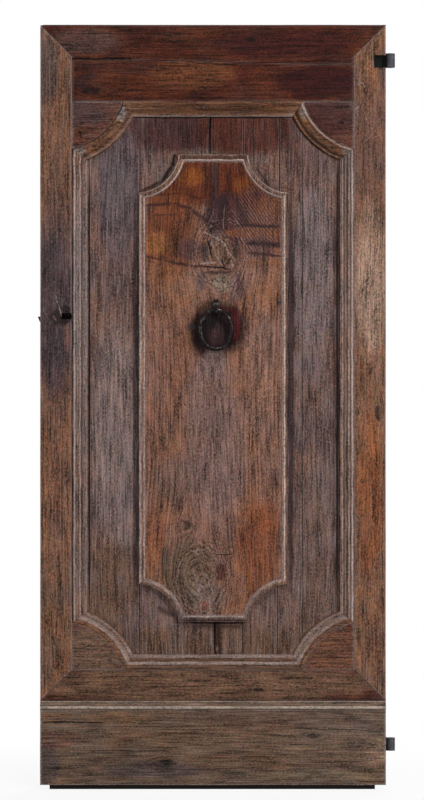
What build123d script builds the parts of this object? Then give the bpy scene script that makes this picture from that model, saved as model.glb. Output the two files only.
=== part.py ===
from build123d import *
import os
from collections import namedtuple
from math import atan2, cos, degrees, hypot, radians, sin, sqrt

os.makedirs("parts", exist_ok=True)

# A plank door leaf with a planted face frame. Millimetres.
# X runs to the right seen from the front, -Y is the front, +Z is up.
# The origin is the middle of the bottom edge, at half the thickness of the framed leaf.

# Leaf
leaf_width = 910.0
leaf_height = 2000.0
core_thickness = 26.0
frame_thickness = 20.0

# Core planks: the middle of each joint, at the foot and at the head of the leaf
plank_joints = [(-195.0, -192.0), (7.0, -9.0), (76.0, 81.0), (168.0, 177.0)]
plank_gap = 1.2
tongue_thickness = 8.0
tongue_length = 7.0
groove_clearance = 0.3

# Face frame
stile_width = 84.0
top_rail_left = 89.0
top_rail_right = 105.0
frieze_width = 113.0
bottom_rail_width = 82.0

# Kick board and its nosing
kick_board_height = 200.0
kick_board_thickness = 28.0
nosing_height = 21.0
nosing_lip = 4.0
nosing_fillet = 3.0
nosing_bead = 8.0
nosing_step = 2.0

# Frame moulding, planted inside the frame opening
moulding_width = 40.0
corner_radius = 180.0
corner_out_x = 38.0
corner_out_z = 52.0
moulding_flat = 1.5
moulding_bead = 8.5
moulding_bead_rise = 1.8
quirk_slope = 0.8
quirk_width = 2.0
quirk_depth = 3.5
ovolo_width = 12.2
ovolo_drop = 7.5
ovolo_swell = 2.6
hollow_width = 3.0
hollow_depth = 2.0
torus_rise = 3.4
torus_drop = 3.0
moulding_lip = 1.0

# Raised panel and its edging strips
panel_middle = 1.0
panel_width = 392.0
panel_above_opening = 126.0
panel_below_opening = 140.0
panel_thickness = 18.0
panel_corner_radius = 114.0
panel_out_x = 8.0
panel_out_z = 14.0
strip_width = 16.0
strip_outer_height = 17.0
strip_fillet = 2.0
strip_bead = 10.5
strip_bead_rise = 3.4
strip_inner_height = 19.5
strip_quirk = 0.9

# Ring pull and its staple
ring_width = 94.0
ring_height = 114.0
ring_rod = 12.0
ring_end_roundness = 0.88
staple_x = 8.0
staple_z = 1257.0
staple_width = 14.0
staple_thickness = 5.0
staple_eye_bore = 15.5
staple_stand_off = 2.5
staple_tail = 34.0
staple_hole_clearance = 0.2
swing_clearance = 0.3

# Strap hinges
strap_thickness = 4.5
strap_length = 385.0
strap_tail_width = 24.0
upper_eye_below_top = 92.0
upper_eye_height = 38.0
lower_eye_z = 105.0
lower_eye_height = 35.0
hinge_bore = 8.0
eye_gap = 0.3
eye_slit = 0.8
strap_nail_first = 32.0
strap_nail_pitch = 102.0
strap_nail_count = 4
notch_width = 31.0
notch_below_eye = 21.0
notch_above_eye = 12.0

# Forged nails
nail_shank = 4.0
nail_length = 36.0
nail_head_radius = 6.0
nail_head_height = 2.6
nail_head_taper = 48.0
strap_nail_depth = 22.0
stile_nail_inset = 36.0
left_nail_z = 579.0
right_nail_inset = 22.0
right_nail_z = 800.0
low_nail_inset = 99.0
low_nail_rise = 26.0
high_nail_inset = 34.0
high_nail_rise = 106.0

# Fall-bar latch on the back
latch_pivot_inset = 155.0
latch_pivot_z = 1230.0
latch_bar_height = 24.0
latch_bar_thickness = 5.0
latch_nose_reach = 8.0
latch_nose_height = 15.0
latch_nose_slope = 6.0
latch_shoulder_inset = 4.0
latch_shoulder_run = 8.0
latch_clearance = 0.3
latch_pin_radius = 4.0
latch_pin_fit = 0.06
latch_pin_depth = 20.0
latch_head_radius = 9.0
latch_head_height = 4.0
guide_inset = 36.0
guide_width = 10.0
guide_thickness = 4.0
guide_lift = 15.0
guide_depth = 18.0
finger_hole_width = 25.0
finger_hole_edge = 2.0
finger_hole_bottom = 1225.0
finger_hole_top = 1241.0

# Places worked out from the sizes above
half_width = leaf_width / 2
front_y = -(core_thickness + frame_thickness) / 2
core_front = front_y + frame_thickness
back_y = core_front + core_thickness
opening_half = half_width - stile_width
kick_front = core_front - kick_board_thickness
kick_moulding_top = kick_board_height + nosing_height
opening_low = kick_moulding_top + bottom_rail_width
rail_joint_left = leaf_height - top_rail_left
rail_joint_right = leaf_height - top_rail_right
opening_high = rail_joint_left - frieze_width
panel_low = opening_low + panel_above_opening
panel_high = opening_high - panel_below_opening
upper_eye_z = leaf_height - upper_eye_below_top
notch_bottom = upper_eye_z - notch_below_eye
notch_top = upper_eye_z + notch_above_eye
latch_pivot_x = -half_width + latch_pivot_inset
guide_x = -half_width + guide_inset

Outline = namedtuple("Outline", "middle half low high radius out_x out_z")
opening = Outline(
    0.0, opening_half, opening_low, opening_high, corner_radius, corner_out_x, corner_out_z
)
panel = Outline(
    panel_middle, panel_width / 2, panel_low, panel_high, panel_corner_radius, panel_out_x, panel_out_z
)


def finish(piece, name):
    """Label a finished piece and write it."""
    piece.label = name
    export_step(piece, f"parts/{name}.step")


def front_plane(y):
    """The upright plane at depth y, facing the front. Its own x and y are X and Z."""
    return Plane.XZ.offset(-y)


def back_plane(y):
    """The upright plane at depth y, facing the back. Its own x is -X, and its y is Z."""
    return Plane(origin=(0, y, 0), x_dir=(-1, 0, 0), z_dir=(0, 1, 0))


def shank_holes(places, y, depth):
    """Cut the square holes of forged nails into the piece being built, from depth y backwards."""
    with BuildSketch(front_plane(y + depth)) as holes:
        with Locations(*places):
            Rectangle(nail_shank, nail_shank)
    extrude(holes.sketch, amount=depth, mode=Mode.SUBTRACT)


# Nails that show on the front: three in the stiles and one in each lower spandrel
front_nail_places = [
    (-half_width + stile_nail_inset, latch_pivot_z),
    (-opening_half - stile_nail_inset, left_nail_z),
    (opening_half + right_nail_inset, right_nail_z),
    (-opening_half + low_nail_inset, opening_low + low_nail_rise),
    (opening_half - high_nail_inset, opening_low + high_nail_rise),
]
core_nail_depth = nail_length - frame_thickness

strap_nail_xs = [half_width - strap_nail_first - strap_nail_pitch * i for i in range(strap_nail_count)]
upper_nail_places = [(x, upper_eye_z) for x in strap_nail_xs]
lower_nail_places = [(x, lower_eye_z) for x in strap_nail_xs]
strap_nail_places = upper_nail_places + lower_nail_places

# Staple: its shank is the two legs of the strap laid together
eye_outer = staple_eye_bore + staple_thickness
panel_face = core_front - panel_thickness
staple_y = panel_face - staple_stand_off - eye_outer
staple_hole_width = staple_width + 2 * staple_hole_clearance
staple_hole_height = 2 * (staple_thickness + staple_hole_clearance)

# Latch: the bar stands off the back by its running clearance
bar_front = back_y + latch_clearance
bar_back = bar_front + latch_bar_thickness
finger_hole_right = -opening_half - finger_hole_edge
finger_hole_left = finger_hole_right - finger_hole_width
guide_low = latch_pivot_z - latch_bar_height / 2 - latch_clearance
guide_high = latch_pivot_z + latch_bar_height / 2 + guide_lift


def staple_hole():
    """Cut the hole for the staple's shank through the piece being built."""
    with BuildSketch(front_plane(back_y)) as hole:
        with Locations((staple_x, staple_z)):
            Rectangle(staple_hole_width, staple_hole_height)
    extrude(hole.sketch, amount=back_y - panel_face, mode=Mode.SUBTRACT)


def finger_hole():
    """Cut the hole over the latch bar through the piece being built."""
    with BuildSketch(front_plane(back_y)) as hole:
        with Locations((finger_hole_left, finger_hole_bottom)):
            Rectangle(
                finger_hole_width, finger_hole_top - finger_hole_bottom, align=(Align.MIN, Align.MIN)
            )
    extrude(hole.sketch, amount=back_y - front_y, mode=Mode.SUBTRACT)


def hinge_notch():
    """Cut the notch at the upper hinge eye through the piece being built."""
    with BuildSketch(front_plane(back_y)) as notch:
        with Locations((half_width, notch_bottom)):
            Rectangle(notch_width, notch_top - notch_bottom, align=(Align.MAX, Align.MIN))
    extrude(notch.sketch, amount=back_y - front_y, mode=Mode.SUBTRACT)


# Core planks: full height, tongue on the right edge, groove on the left
tongue_back = core_front + (core_thickness + tongue_thickness) / 2
half_gap = plank_gap / 2
left_edges = [(-half_width, -half_width)] + [(foot + half_gap, head + half_gap) for foot, head in plank_joints]
right_edges = [(foot - half_gap, head - half_gap) for foot, head in plank_joints] + [(half_width, half_width)]
plank_total = len(left_edges)
for number, (left, right) in enumerate(zip(left_edges, right_edges), start=1):
    with BuildPart() as plank:
        with BuildSketch(front_plane(back_y)):
            with BuildLine():
                Polyline(
                    (left[0], 0), (right[0], 0), (right[1], leaf_height), (left[1], leaf_height), close=True
                )
            make_face()
        extrude(amount=core_thickness)
        if number < plank_total:
            with BuildSketch(front_plane(tongue_back)):
                with BuildLine():
                    Polyline(
                        (right[0], 0),
                        (right[0] + tongue_length, 0),
                        (right[1] + tongue_length, leaf_height),
                        (right[1], leaf_height),
                        close=True,
                    )
                make_face()
            extrude(amount=tongue_thickness)
        if number > 1:
            with BuildSketch(front_plane(tongue_back + groove_clearance)):
                with BuildLine():
                    Polyline(
                        (left[0], 0),
                        (left[0] + tongue_length, 0),
                        (left[1] + tongue_length, leaf_height),
                        (left[1], leaf_height),
                        close=True,
                    )
                make_face()
            extrude(amount=tongue_thickness + 2 * groove_clearance, mode=Mode.SUBTRACT)
        shank_holes(front_nail_places, core_front, core_nail_depth)
        shank_holes(strap_nail_places, back_y - strap_nail_depth, strap_nail_depth)
        if number in (2, 3):
            staple_hole()
        if number == 1:
            finger_hole()
            with BuildSketch(back_plane(back_y)):
                with Locations((-latch_pivot_x, latch_pivot_z)):
                    Circle(latch_pin_radius + latch_pin_fit)
                with Locations(
                    (-guide_x, guide_low - guide_thickness / 2),
                    (-guide_x, guide_high + guide_thickness / 2),
                ):
                    Rectangle(guide_width, guide_thickness)
            extrude(amount=-latch_pin_depth, mode=Mode.SUBTRACT)
        if number == plank_total:
            hinge_notch()
    finish(plank.part, f"core_plank_{number}")


def flat_board(name, points, back, thickness, cuts=()):
    """A board with a straight-sided outline, from its back face forwards, with its cuts made."""
    with BuildPart() as board:
        with BuildSketch(front_plane(back)):
            with BuildLine():
                Polyline(*points, close=True)
            make_face()
        extrude(amount=thickness)
        for cut in cuts:
            cut()
        shank_holes(front_nail_places, front_y, frame_thickness)
    finish(board.part, name)


# Stiles: planted on the core, cut to a mitre at both ends
mitre_top = leaf_height - stile_width
for name, side, cuts in (("stile_left", -1, [finger_hole]), ("stile_right", 1, [hinge_notch])):
    stile_points = [
        (side * half_width, kick_moulding_top),
        (side * opening_half, opening_low),
        (side * opening_half, mitre_top),
        (side * half_width, leaf_height),
    ]
    flat_board(name, stile_points, core_front, frame_thickness, cuts)

# Top rail: mitred into the stiles, its lower edge running out of level as the board was sawn
top_rail_points = [
    (-half_width, leaf_height),
    (-opening_half, mitre_top),
    (-opening_half, rail_joint_left),
    (opening_half, rail_joint_right),
    (opening_half, mitre_top),
    (half_width, leaf_height),
]
flat_board("top_rail", top_rail_points, core_front, frame_thickness)

# Frieze rail: fills the frame between the top rail and the opening
frieze_points = [
    (-opening_half, opening_high),
    (opening_half, opening_high),
    (opening_half, rail_joint_right),
    (-opening_half, rail_joint_left),
]
flat_board("frieze_rail", frieze_points, core_front, frame_thickness)

# Bottom rail: mitred into the stiles
bottom_rail_points = [
    (-half_width, kick_moulding_top),
    (half_width, kick_moulding_top),
    (opening_half, opening_low),
    (-opening_half, opening_low),
]
flat_board("bottom_rail", bottom_rail_points, core_front, frame_thickness)

# Kick board: thicker than the frame, across the foot of the leaf
kick_points = [
    (-half_width, 0),
    (half_width, 0),
    (half_width, kick_board_height),
    (-half_width, kick_board_height),
]
flat_board("kick_board", kick_points, core_front, kick_board_thickness)

# Kick moulding: a fillet, a hollow and a bead over the top edge of the kick board
fillet_y = front_y - nosing_step
bead_top = kick_board_height + nosing_bead
hollow_top = kick_moulding_top - nosing_fillet
hollow_foot_y = kick_front - nosing_lip / 2
with BuildPart() as kick_moulding:
    with BuildSketch(Plane.YZ.offset(-half_width)):
        with BuildLine():
            Polyline(
                (kick_front, kick_board_height),
                (core_front, kick_board_height),
                (core_front, kick_moulding_top),
                (fillet_y, kick_moulding_top),
                (fillet_y, hollow_top),
            )
            ThreePointArc(
                (fillet_y, hollow_top),
                (fillet_y * 0.7 + hollow_foot_y * 0.3, hollow_top * 0.3 + bead_top * 0.7),
                (hollow_foot_y, bead_top),
            )
            ThreePointArc(
                (hollow_foot_y, bead_top),
                (kick_front - nosing_lip, kick_board_height + nosing_bead / 2),
                (kick_front, kick_board_height),
            )
        make_face()
    extrude(amount=leaf_width)
finish(kick_moulding.part, "kick_moulding")


# Outlines with hollow corners: the mouldings and strips that run round them are found from these
def corner_centre(edge, side, end):
    """Centre of a corner's round: side is -1 or 1 across, end is -1 or 1 in height."""
    centre_x = edge.middle + side * (edge.half + edge.out_x)
    centre_z = edge.high + edge.out_z if end > 0 else edge.low - edge.out_z
    return centre_x, centre_z


def side_mitre(edge, side, end, inset):
    """The point where the upright run meets the round, at a distance inside the outline."""
    centre_x, centre_z = corner_centre(edge, side, end)
    x = edge.middle + side * (edge.half - inset)
    return x, centre_z - end * sqrt((edge.radius + inset) ** 2 - (x - centre_x) ** 2)


def end_mitre(edge, side, end, inset):
    """The point where the level run meets the round, at a distance inside the outline."""
    centre_x, centre_z = corner_centre(edge, side, end)
    z = edge.high - inset if end > 0 else edge.low + inset
    return centre_x - side * sqrt((edge.radius + inset) ** 2 - (z - centre_z) ** 2), z


def round_middle(edge, side, end, inset):
    """The middle of the round between its two mitres."""
    centre = Vector(*corner_centre(edge, side, end))
    first = (Vector(*side_mitre(edge, side, end, inset)) - centre).normalized()
    last = (Vector(*end_mitre(edge, side, end, inset)) - centre).normalized()
    middle = centre + (first + last).normalized() * (edge.radius + inset)
    return middle.X, middle.Y


mitre_steps = 6


def mitre_points(mitre, edge, side, end, width):
    """Points along a mitre, from the outline inwards."""
    return [mitre(edge, side, end, width * step / mitre_steps) for step in range(mitre_steps + 1)]


def bulge(start, end, swell):
    """The middle point of an arc from start to end that swells outwards."""
    run = end[0] - start[0]
    rise = end[1] - start[1]
    length = hypot(run, rise)
    middle_run = (start[0] + end[0]) / 2 - rise / length * swell
    middle_rise = (start[1] + end[1]) / 2 + run / length * swell
    return middle_run, middle_rise


# Section of the frame moulding as distance from the frame and height over the core planks
bead_start = (moulding_flat, frame_thickness)
bead_end = (moulding_flat + moulding_bead, frame_thickness)
quirk_start = (bead_end[0] + quirk_slope, frame_thickness - quirk_depth)
quirk_end = (quirk_start[0] + quirk_width, quirk_start[1])
ovolo_end = (quirk_end[0] + ovolo_width, quirk_end[1] - ovolo_drop)
hollow_start = (ovolo_end[0], ovolo_end[1] - hollow_depth)
hollow_end = (hollow_start[0] + hollow_width, hollow_start[1])
torus_end = (moulding_width - moulding_lip, torus_drop)
moulding_section = [
    [(0, 0), (0, frame_thickness), bead_start],
    [bead_start, bulge(bead_start, bead_end, moulding_bead_rise), bead_end],
    [bead_end, quirk_start, quirk_end],
    [quirk_end, bulge(quirk_end, ovolo_end, ovolo_swell), ovolo_end],
    [ovolo_end, hollow_start, hollow_end],
    [hollow_end, bulge(hollow_end, torus_end, torus_rise), torus_end],
    [torus_end, (moulding_width, torus_drop), (moulding_width, 0), (0, 0)],
]

# Section of the edging strip round the raised panel, in the same two measures
strip_bead_start = (strip_fillet, strip_outer_height)
strip_bead_end = (strip_fillet + strip_bead, strip_inner_height - strip_quirk)
strip_section = [
    [(0, 0), (0, strip_outer_height), strip_bead_start],
    [strip_bead_start, bulge(strip_bead_start, strip_bead_end, strip_bead_rise), strip_bead_end],
    [
        strip_bead_end,
        (strip_bead_end[0] + strip_quirk, strip_inner_height),
        (strip_width, strip_inner_height),
        (strip_width, 0),
        (0, 0),
    ],
]


def section_face(plane, section, place):
    """The section as a face on a plane, with straight runs and arcs by turns."""
    with BuildSketch(plane) as face:
        with BuildLine():
            for index, run in enumerate(section):
                spots = [place(*spot) for spot in run]
                if index % 2:
                    ThreePointArc(*spots)
                else:
                    Polyline(*spots)
        make_face()
    return face.sketch


def upright_run(name, edge, side, section, width, height):
    """A straight length beside an upright edge, mitred to the rounds at both ends."""
    low = mitre_points(side_mitre, edge, side, -1, width)
    high = mitre_points(side_mitre, edge, side, 1, width)
    with BuildPart() as piece:
        with BuildSketch(front_plane(core_front)):
            with BuildLine():
                Spline(*low)
                Line(low[-1], high[-1])
                Spline(*high)
                Line(low[0], high[0])
            make_face()
        extrude(amount=height)
        profile = section_face(
            Plane.XY.offset(edge.low - edge.out_z),
            section,
            lambda inset, over: (edge.middle + side * (edge.half - inset), core_front - over),
        )
        extrude(profile, amount=edge.high - edge.low + 2 * edge.out_z, mode=Mode.INTERSECT)
    finish(piece.part, name)


def level_run(name, edge, end, section, width, height):
    """A straight length beside a level edge, mitred to the rounds at both ends."""
    left = mitre_points(end_mitre, edge, -1, end, width)
    right = mitre_points(end_mitre, edge, 1, end, width)
    edge_z = edge.high if end > 0 else edge.low
    with BuildPart() as piece:
        with BuildSketch(front_plane(core_front)):
            with BuildLine():
                Spline(*left)
                Line(left[-1], right[-1])
                Spline(*right)
                Line(left[0], right[0])
            make_face()
        extrude(amount=height)
        profile = section_face(
            Plane.YZ.offset(edge.middle - edge.half),
            section,
            lambda inset, over: (core_front - over, edge_z - end * inset),
        )
        extrude(profile, amount=2 * edge.half, mode=Mode.INTERSECT)
    finish(piece.part, name)


def corner_run(name, edge, side, end, section, width, height):
    """A curved length round a hollow corner, mitred to the straight lengths."""
    side_points = mitre_points(side_mitre, edge, side, end, width)
    end_points = mitre_points(end_mitre, edge, side, end, width)
    centre_x, centre_z = corner_centre(edge, side, end)
    with BuildPart() as piece:
        with BuildSketch(front_plane(core_front)):
            with BuildLine():
                Spline(*side_points)
                ThreePointArc(side_points[-1], round_middle(edge, side, end, width), end_points[-1])
                Spline(*end_points)
                ThreePointArc(side_points[0], round_middle(edge, side, end, 0), end_points[0])
            make_face()
        extrude(amount=height)
        profile = section_face(
            Plane.XY.offset(centre_z),
            section,
            lambda inset, over: (centre_x - side * (edge.radius + inset), core_front - over),
        )
        revolve(profile, axis=Axis((centre_x, 0, centre_z), (0, 1, 0)), mode=Mode.INTERSECT)
    finish(piece.part, name)


sides = {"left": -1, "right": 1}
ends = {"bottom": -1, "top": 1}


def run_round(prefix, edge, section, width, height):
    """The eight mitred lengths that go round an outline."""
    for side_name, side in sides.items():
        upright_run(f"{prefix}_{side_name}", edge, side, section, width, height)
    for end_name, end in ends.items():
        level_run(f"{prefix}_{end_name}", edge, end, section, width, height)
        for side_name, side in sides.items():
            corner_run(f"{prefix}_curve_{end_name}_{side_name}", edge, side, end, section, width, height)


# Frame moulding and panel edging
run_round("moulding", opening, moulding_section, moulding_width, frame_thickness + moulding_bead_rise)
run_round("panel_strip", panel, strip_section, strip_width, strip_inner_height + strip_bead_rise)

# Spandrels: a block in each corner of the frame, flush with it and cut to the round
for end_name, end in ends.items():
    for side_name, side in sides.items():
        corner_x = side * opening_half
        corner_z = opening.high if end > 0 else opening.low
        side_point = side_mitre(opening, side, end, 0)
        end_point = end_mitre(opening, side, end, 0)
        with BuildPart() as spandrel:
            with BuildSketch(front_plane(core_front)):
                with BuildLine():
                    Line((corner_x, corner_z), side_point)
                    ThreePointArc(side_point, round_middle(opening, side, end, 0), end_point)
                    Line(end_point, (corner_x, corner_z))
                make_face()
            extrude(amount=frame_thickness)
            shank_holes(front_nail_places, front_y, frame_thickness)
        finish(spandrel.part, f"spandrel_{end_name}_{side_name}")

# Raised panel: one wide board inside the edging strips
corners = [(-1, -1), (1, -1), (1, 1), (-1, 1)]
with BuildPart() as raised_panel:
    with BuildSketch(front_plane(core_front)):
        with BuildLine():
            for side, end in corners:
                ThreePointArc(
                    side_mitre(panel, side, end, strip_width),
                    round_middle(panel, side, end, strip_width),
                    end_mitre(panel, side, end, strip_width),
                )
            for end in ends.values():
                Line(end_mitre(panel, -1, end, strip_width), end_mitre(panel, 1, end, strip_width))
            for side in sides.values():
                Line(side_mitre(panel, side, -1, strip_width), side_mitre(panel, side, 1, strip_width))
        make_face()
    extrude(amount=panel_thickness)
    staple_hole()
finish(raised_panel.part, "raised_panel")

# Ring staple: a strap bent round to an eye, its two legs laid together through the leaf,
# then turned up and down and clenched on the back
staple_shank_half = staple_thickness
tail_reach = staple_shank_half + staple_tail
with BuildPart() as ring_staple:
    with BuildSketch(Plane.YZ.offset(staple_x - staple_width / 2)):
        with Locations((staple_y, staple_z)):
            Circle(eye_outer)
        with Locations((staple_y, staple_z)):
            Rectangle(
                back_y + staple_thickness - staple_y, 2 * staple_shank_half, align=(Align.MIN, Align.CENTER)
            )
        with Locations((back_y, staple_z)):
            Rectangle(staple_thickness, 2 * tail_reach, align=(Align.MIN, Align.CENTER))
        with Locations((staple_y, staple_z)):
            Circle(staple_eye_bore, mode=Mode.SUBTRACT)
    extrude(amount=staple_width)
finish(ring_staple.part, "ring_staple")

# Ring pull: a round rod bent to an oval of four arcs, hanging in the staple's eye.
# Angles run from +X towards +Z, and each arc is a stretch of rod turned about its own centre.
rod_radius = ring_rod / 2
ring_half_width = ring_width / 2 - rod_radius
ring_half_height = ring_height / 2 - rod_radius
end_radius = ring_half_width * ring_end_roundness
end_centre = ring_half_height - end_radius
side_radius = (ring_half_width**2 + end_centre**2 - end_radius**2) / (2 * (ring_half_width - end_radius))
side_centre = side_radius - ring_half_width
meet_angle = degrees(atan2(end_centre, side_centre))
eye_drop = end_radius - sqrt(end_radius**2 - (staple_width / 2) ** 2)
ring_pivot_z = staple_z - staple_eye_bore + rod_radius + eye_drop + swing_clearance
ring_z = ring_pivot_z - ring_half_height
ring_arcs = [
    (-side_centre, 0, side_radius, -meet_angle, 2 * meet_angle),
    (0, end_centre, end_radius, meet_angle, 180 - 2 * meet_angle),
    (side_centre, 0, side_radius, 180 - meet_angle, 2 * meet_angle),
    (0, -end_centre, end_radius, 180 + meet_angle, 180 - 2 * meet_angle),
]
with BuildPart() as ring_pull:
    for centre_x, centre_z, arc_radius, start, turn in ring_arcs:
        outwards = Vector(cos(radians(start)), 0, sin(radians(start)))
        centre = Vector(staple_x + centre_x, staple_y, ring_z + centre_z)
        with BuildSketch(Plane(origin=centre, x_dir=outwards, z_dir=outwards.cross(Vector(0, 1, 0)))):
            with Locations((arc_radius, 0)):
                Circle(rod_radius)
        revolve(axis=Axis(centre, (0, -1, 0)), revolution_arc=turn)
finish(ring_pull.part, "ring_pull")

# Strap hinges: the strap lies on the back and its end is rolled forwards to an open eye
eye_radius = hinge_bore + strap_thickness
eye_x = half_width + eye_gap + eye_radius
eye_y = back_y + strap_thickness - eye_radius
tail_x = half_width - strap_length
for name, eye_z, eye_height, nail_places in (
    ("hinge_strap_upper", upper_eye_z, upper_eye_height, upper_nail_places),
    ("hinge_strap_lower", lower_eye_z, lower_eye_height, lower_nail_places),
):
    with BuildPart() as strap:
        with BuildSketch(front_plane(back_y + strap_thickness)):
            with BuildLine():
                Polyline(
                    (tail_x, eye_z + strap_tail_width / 2),
                    (half_width, eye_z + eye_height / 2),
                    (eye_x, eye_z + eye_height / 2),
                    (eye_x, eye_z - eye_height / 2),
                    (half_width, eye_z - eye_height / 2),
                    (tail_x, eye_z - strap_tail_width / 2),
                )
                ThreePointArc(
                    (tail_x, eye_z - strap_tail_width / 2),
                    (tail_x - strap_tail_width / 2, eye_z),
                    (tail_x, eye_z + strap_tail_width / 2),
                )
            make_face()
        extrude(amount=strap_thickness)
        with BuildSketch(Plane.XY.offset(eye_z - eye_height / 2)):
            with Locations((eye_x, eye_y)):
                Circle(eye_radius)
        extrude(amount=eye_height)
        with BuildSketch(Plane.XY.offset(eye_z - eye_height / 2)):
            with Locations((eye_x, eye_y)):
                Circle(hinge_bore)
            with Locations((eye_x, back_y)):
                Rectangle(eye_radius, eye_slit, align=(Align.MAX, Align.MAX))
        extrude(amount=eye_height, mode=Mode.SUBTRACT)
        shank_holes(nail_places, back_y, strap_thickness)
    finish(strap.part, name)


def forged_nails(name, places, plane, depth):
    """Nails with square shanks and low faceted heads, heads seated on the plane given."""
    with BuildPart() as nails:
        with BuildSketch(plane):
            with Locations(*places):
                Rectangle(nail_shank, nail_shank)
        extrude(amount=-depth)
        with BuildSketch(plane):
            with Locations(*places):
                RegularPolygon(nail_head_radius, 6)
        extrude(amount=nail_head_height, taper=nail_head_taper)
    finish(nails.part, name)


def seen_from_back(places):
    """Places turned to the back plane's own x."""
    return [(-x, z) for x, z in places]


strap_face = back_plane(back_y + strap_thickness)
strap_nail_length = strap_nail_depth + strap_thickness
forged_nails("hinge_nails_upper", seen_from_back(upper_nail_places), strap_face, strap_nail_length)
forged_nails("hinge_nails_lower", seen_from_back(lower_nail_places), strap_face, strap_nail_length)
forged_nails("frame_nails", front_nail_places, front_plane(front_y), nail_length)

# Latch bar: a flat bar that falls shut, its nose past the leaf's left edge
bar_low = latch_pivot_z - latch_bar_height / 2
bar_high = latch_pivot_z + latch_bar_height / 2
nose_x = -half_width - latch_nose_reach
nose_top = bar_low + latch_nose_height
shoulder_x = -half_width + latch_shoulder_inset
bar_end_radius = latch_bar_height / 2
with BuildPart() as latch_bar:
    with BuildSketch(front_plane(bar_back)):
        with BuildLine():
            Polyline(
                (latch_pivot_x, bar_high),
                (shoulder_x + latch_shoulder_run, bar_high),
                (shoulder_x, nose_top),
                (nose_x, nose_top),
                (nose_x + latch_nose_slope, bar_low),
                (latch_pivot_x, bar_low),
            )
            ThreePointArc(
                (latch_pivot_x, bar_low),
                (latch_pivot_x + bar_end_radius, latch_pivot_z),
                (latch_pivot_x, bar_high),
            )
        make_face()
        with Locations((latch_pivot_x, latch_pivot_z)):
            Circle(latch_pin_radius + latch_pin_fit, mode=Mode.SUBTRACT)
    extrude(amount=latch_bar_thickness)
finish(latch_bar.part, "latch_bar")

# Latch rivet: the pin the bar turns on, with a domed head that keeps the bar on
rivet_seat = bar_back + latch_clearance
with BuildPart() as latch_rivet:
    with BuildSketch(back_plane(back_y - latch_pin_depth)):
        with Locations((-latch_pivot_x, latch_pivot_z)):
            Circle(latch_pin_radius)
    extrude(amount=rivet_seat - back_y + latch_pin_depth)
    with BuildSketch(back_plane(rivet_seat)):
        with Locations((-latch_pivot_x, latch_pivot_z)):
            Circle(latch_head_radius)
    extrude(amount=latch_head_height, taper=nail_head_taper)
finish(latch_rivet.part, "latch_rivet")

# Latch guide: a staple driven over the bar, which rests on its lower leg and lifts to its upper one
with BuildPart() as latch_guide:
    with BuildSketch(Plane.YZ.offset(guide_x - guide_width / 2)):
        with BuildLine():
            Polyline(
                (back_y - guide_depth, guide_low - guide_thickness),
                (rivet_seat + guide_thickness, guide_low - guide_thickness),
                (rivet_seat + guide_thickness, guide_high + guide_thickness),
                (back_y - guide_depth, guide_high + guide_thickness),
                (back_y - guide_depth, guide_high),
                (rivet_seat, guide_high),
                (rivet_seat, guide_low),
                (back_y - guide_depth, guide_low),
                close=True,
            )
        make_face()
    extrude(amount=guide_width)
finish(latch_guide.part, "latch_guide")
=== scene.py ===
from math import atan2, cos, hypot, pi, radians, sin, sqrt

import bmesh
import bpy
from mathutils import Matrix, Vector, noise


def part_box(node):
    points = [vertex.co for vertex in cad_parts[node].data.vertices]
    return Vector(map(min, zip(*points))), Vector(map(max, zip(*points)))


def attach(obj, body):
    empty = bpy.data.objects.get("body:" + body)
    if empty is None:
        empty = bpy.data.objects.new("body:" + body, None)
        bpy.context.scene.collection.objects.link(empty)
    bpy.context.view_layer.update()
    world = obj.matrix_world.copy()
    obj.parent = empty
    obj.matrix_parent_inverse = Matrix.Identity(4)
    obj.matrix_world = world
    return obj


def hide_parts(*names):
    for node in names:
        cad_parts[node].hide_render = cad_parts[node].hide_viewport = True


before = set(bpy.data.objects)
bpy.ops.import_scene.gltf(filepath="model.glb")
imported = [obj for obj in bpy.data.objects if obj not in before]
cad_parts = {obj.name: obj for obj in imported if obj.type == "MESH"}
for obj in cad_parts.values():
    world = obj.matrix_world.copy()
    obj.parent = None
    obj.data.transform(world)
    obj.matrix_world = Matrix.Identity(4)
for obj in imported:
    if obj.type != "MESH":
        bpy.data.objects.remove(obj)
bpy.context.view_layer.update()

mm = 0.001


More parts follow.
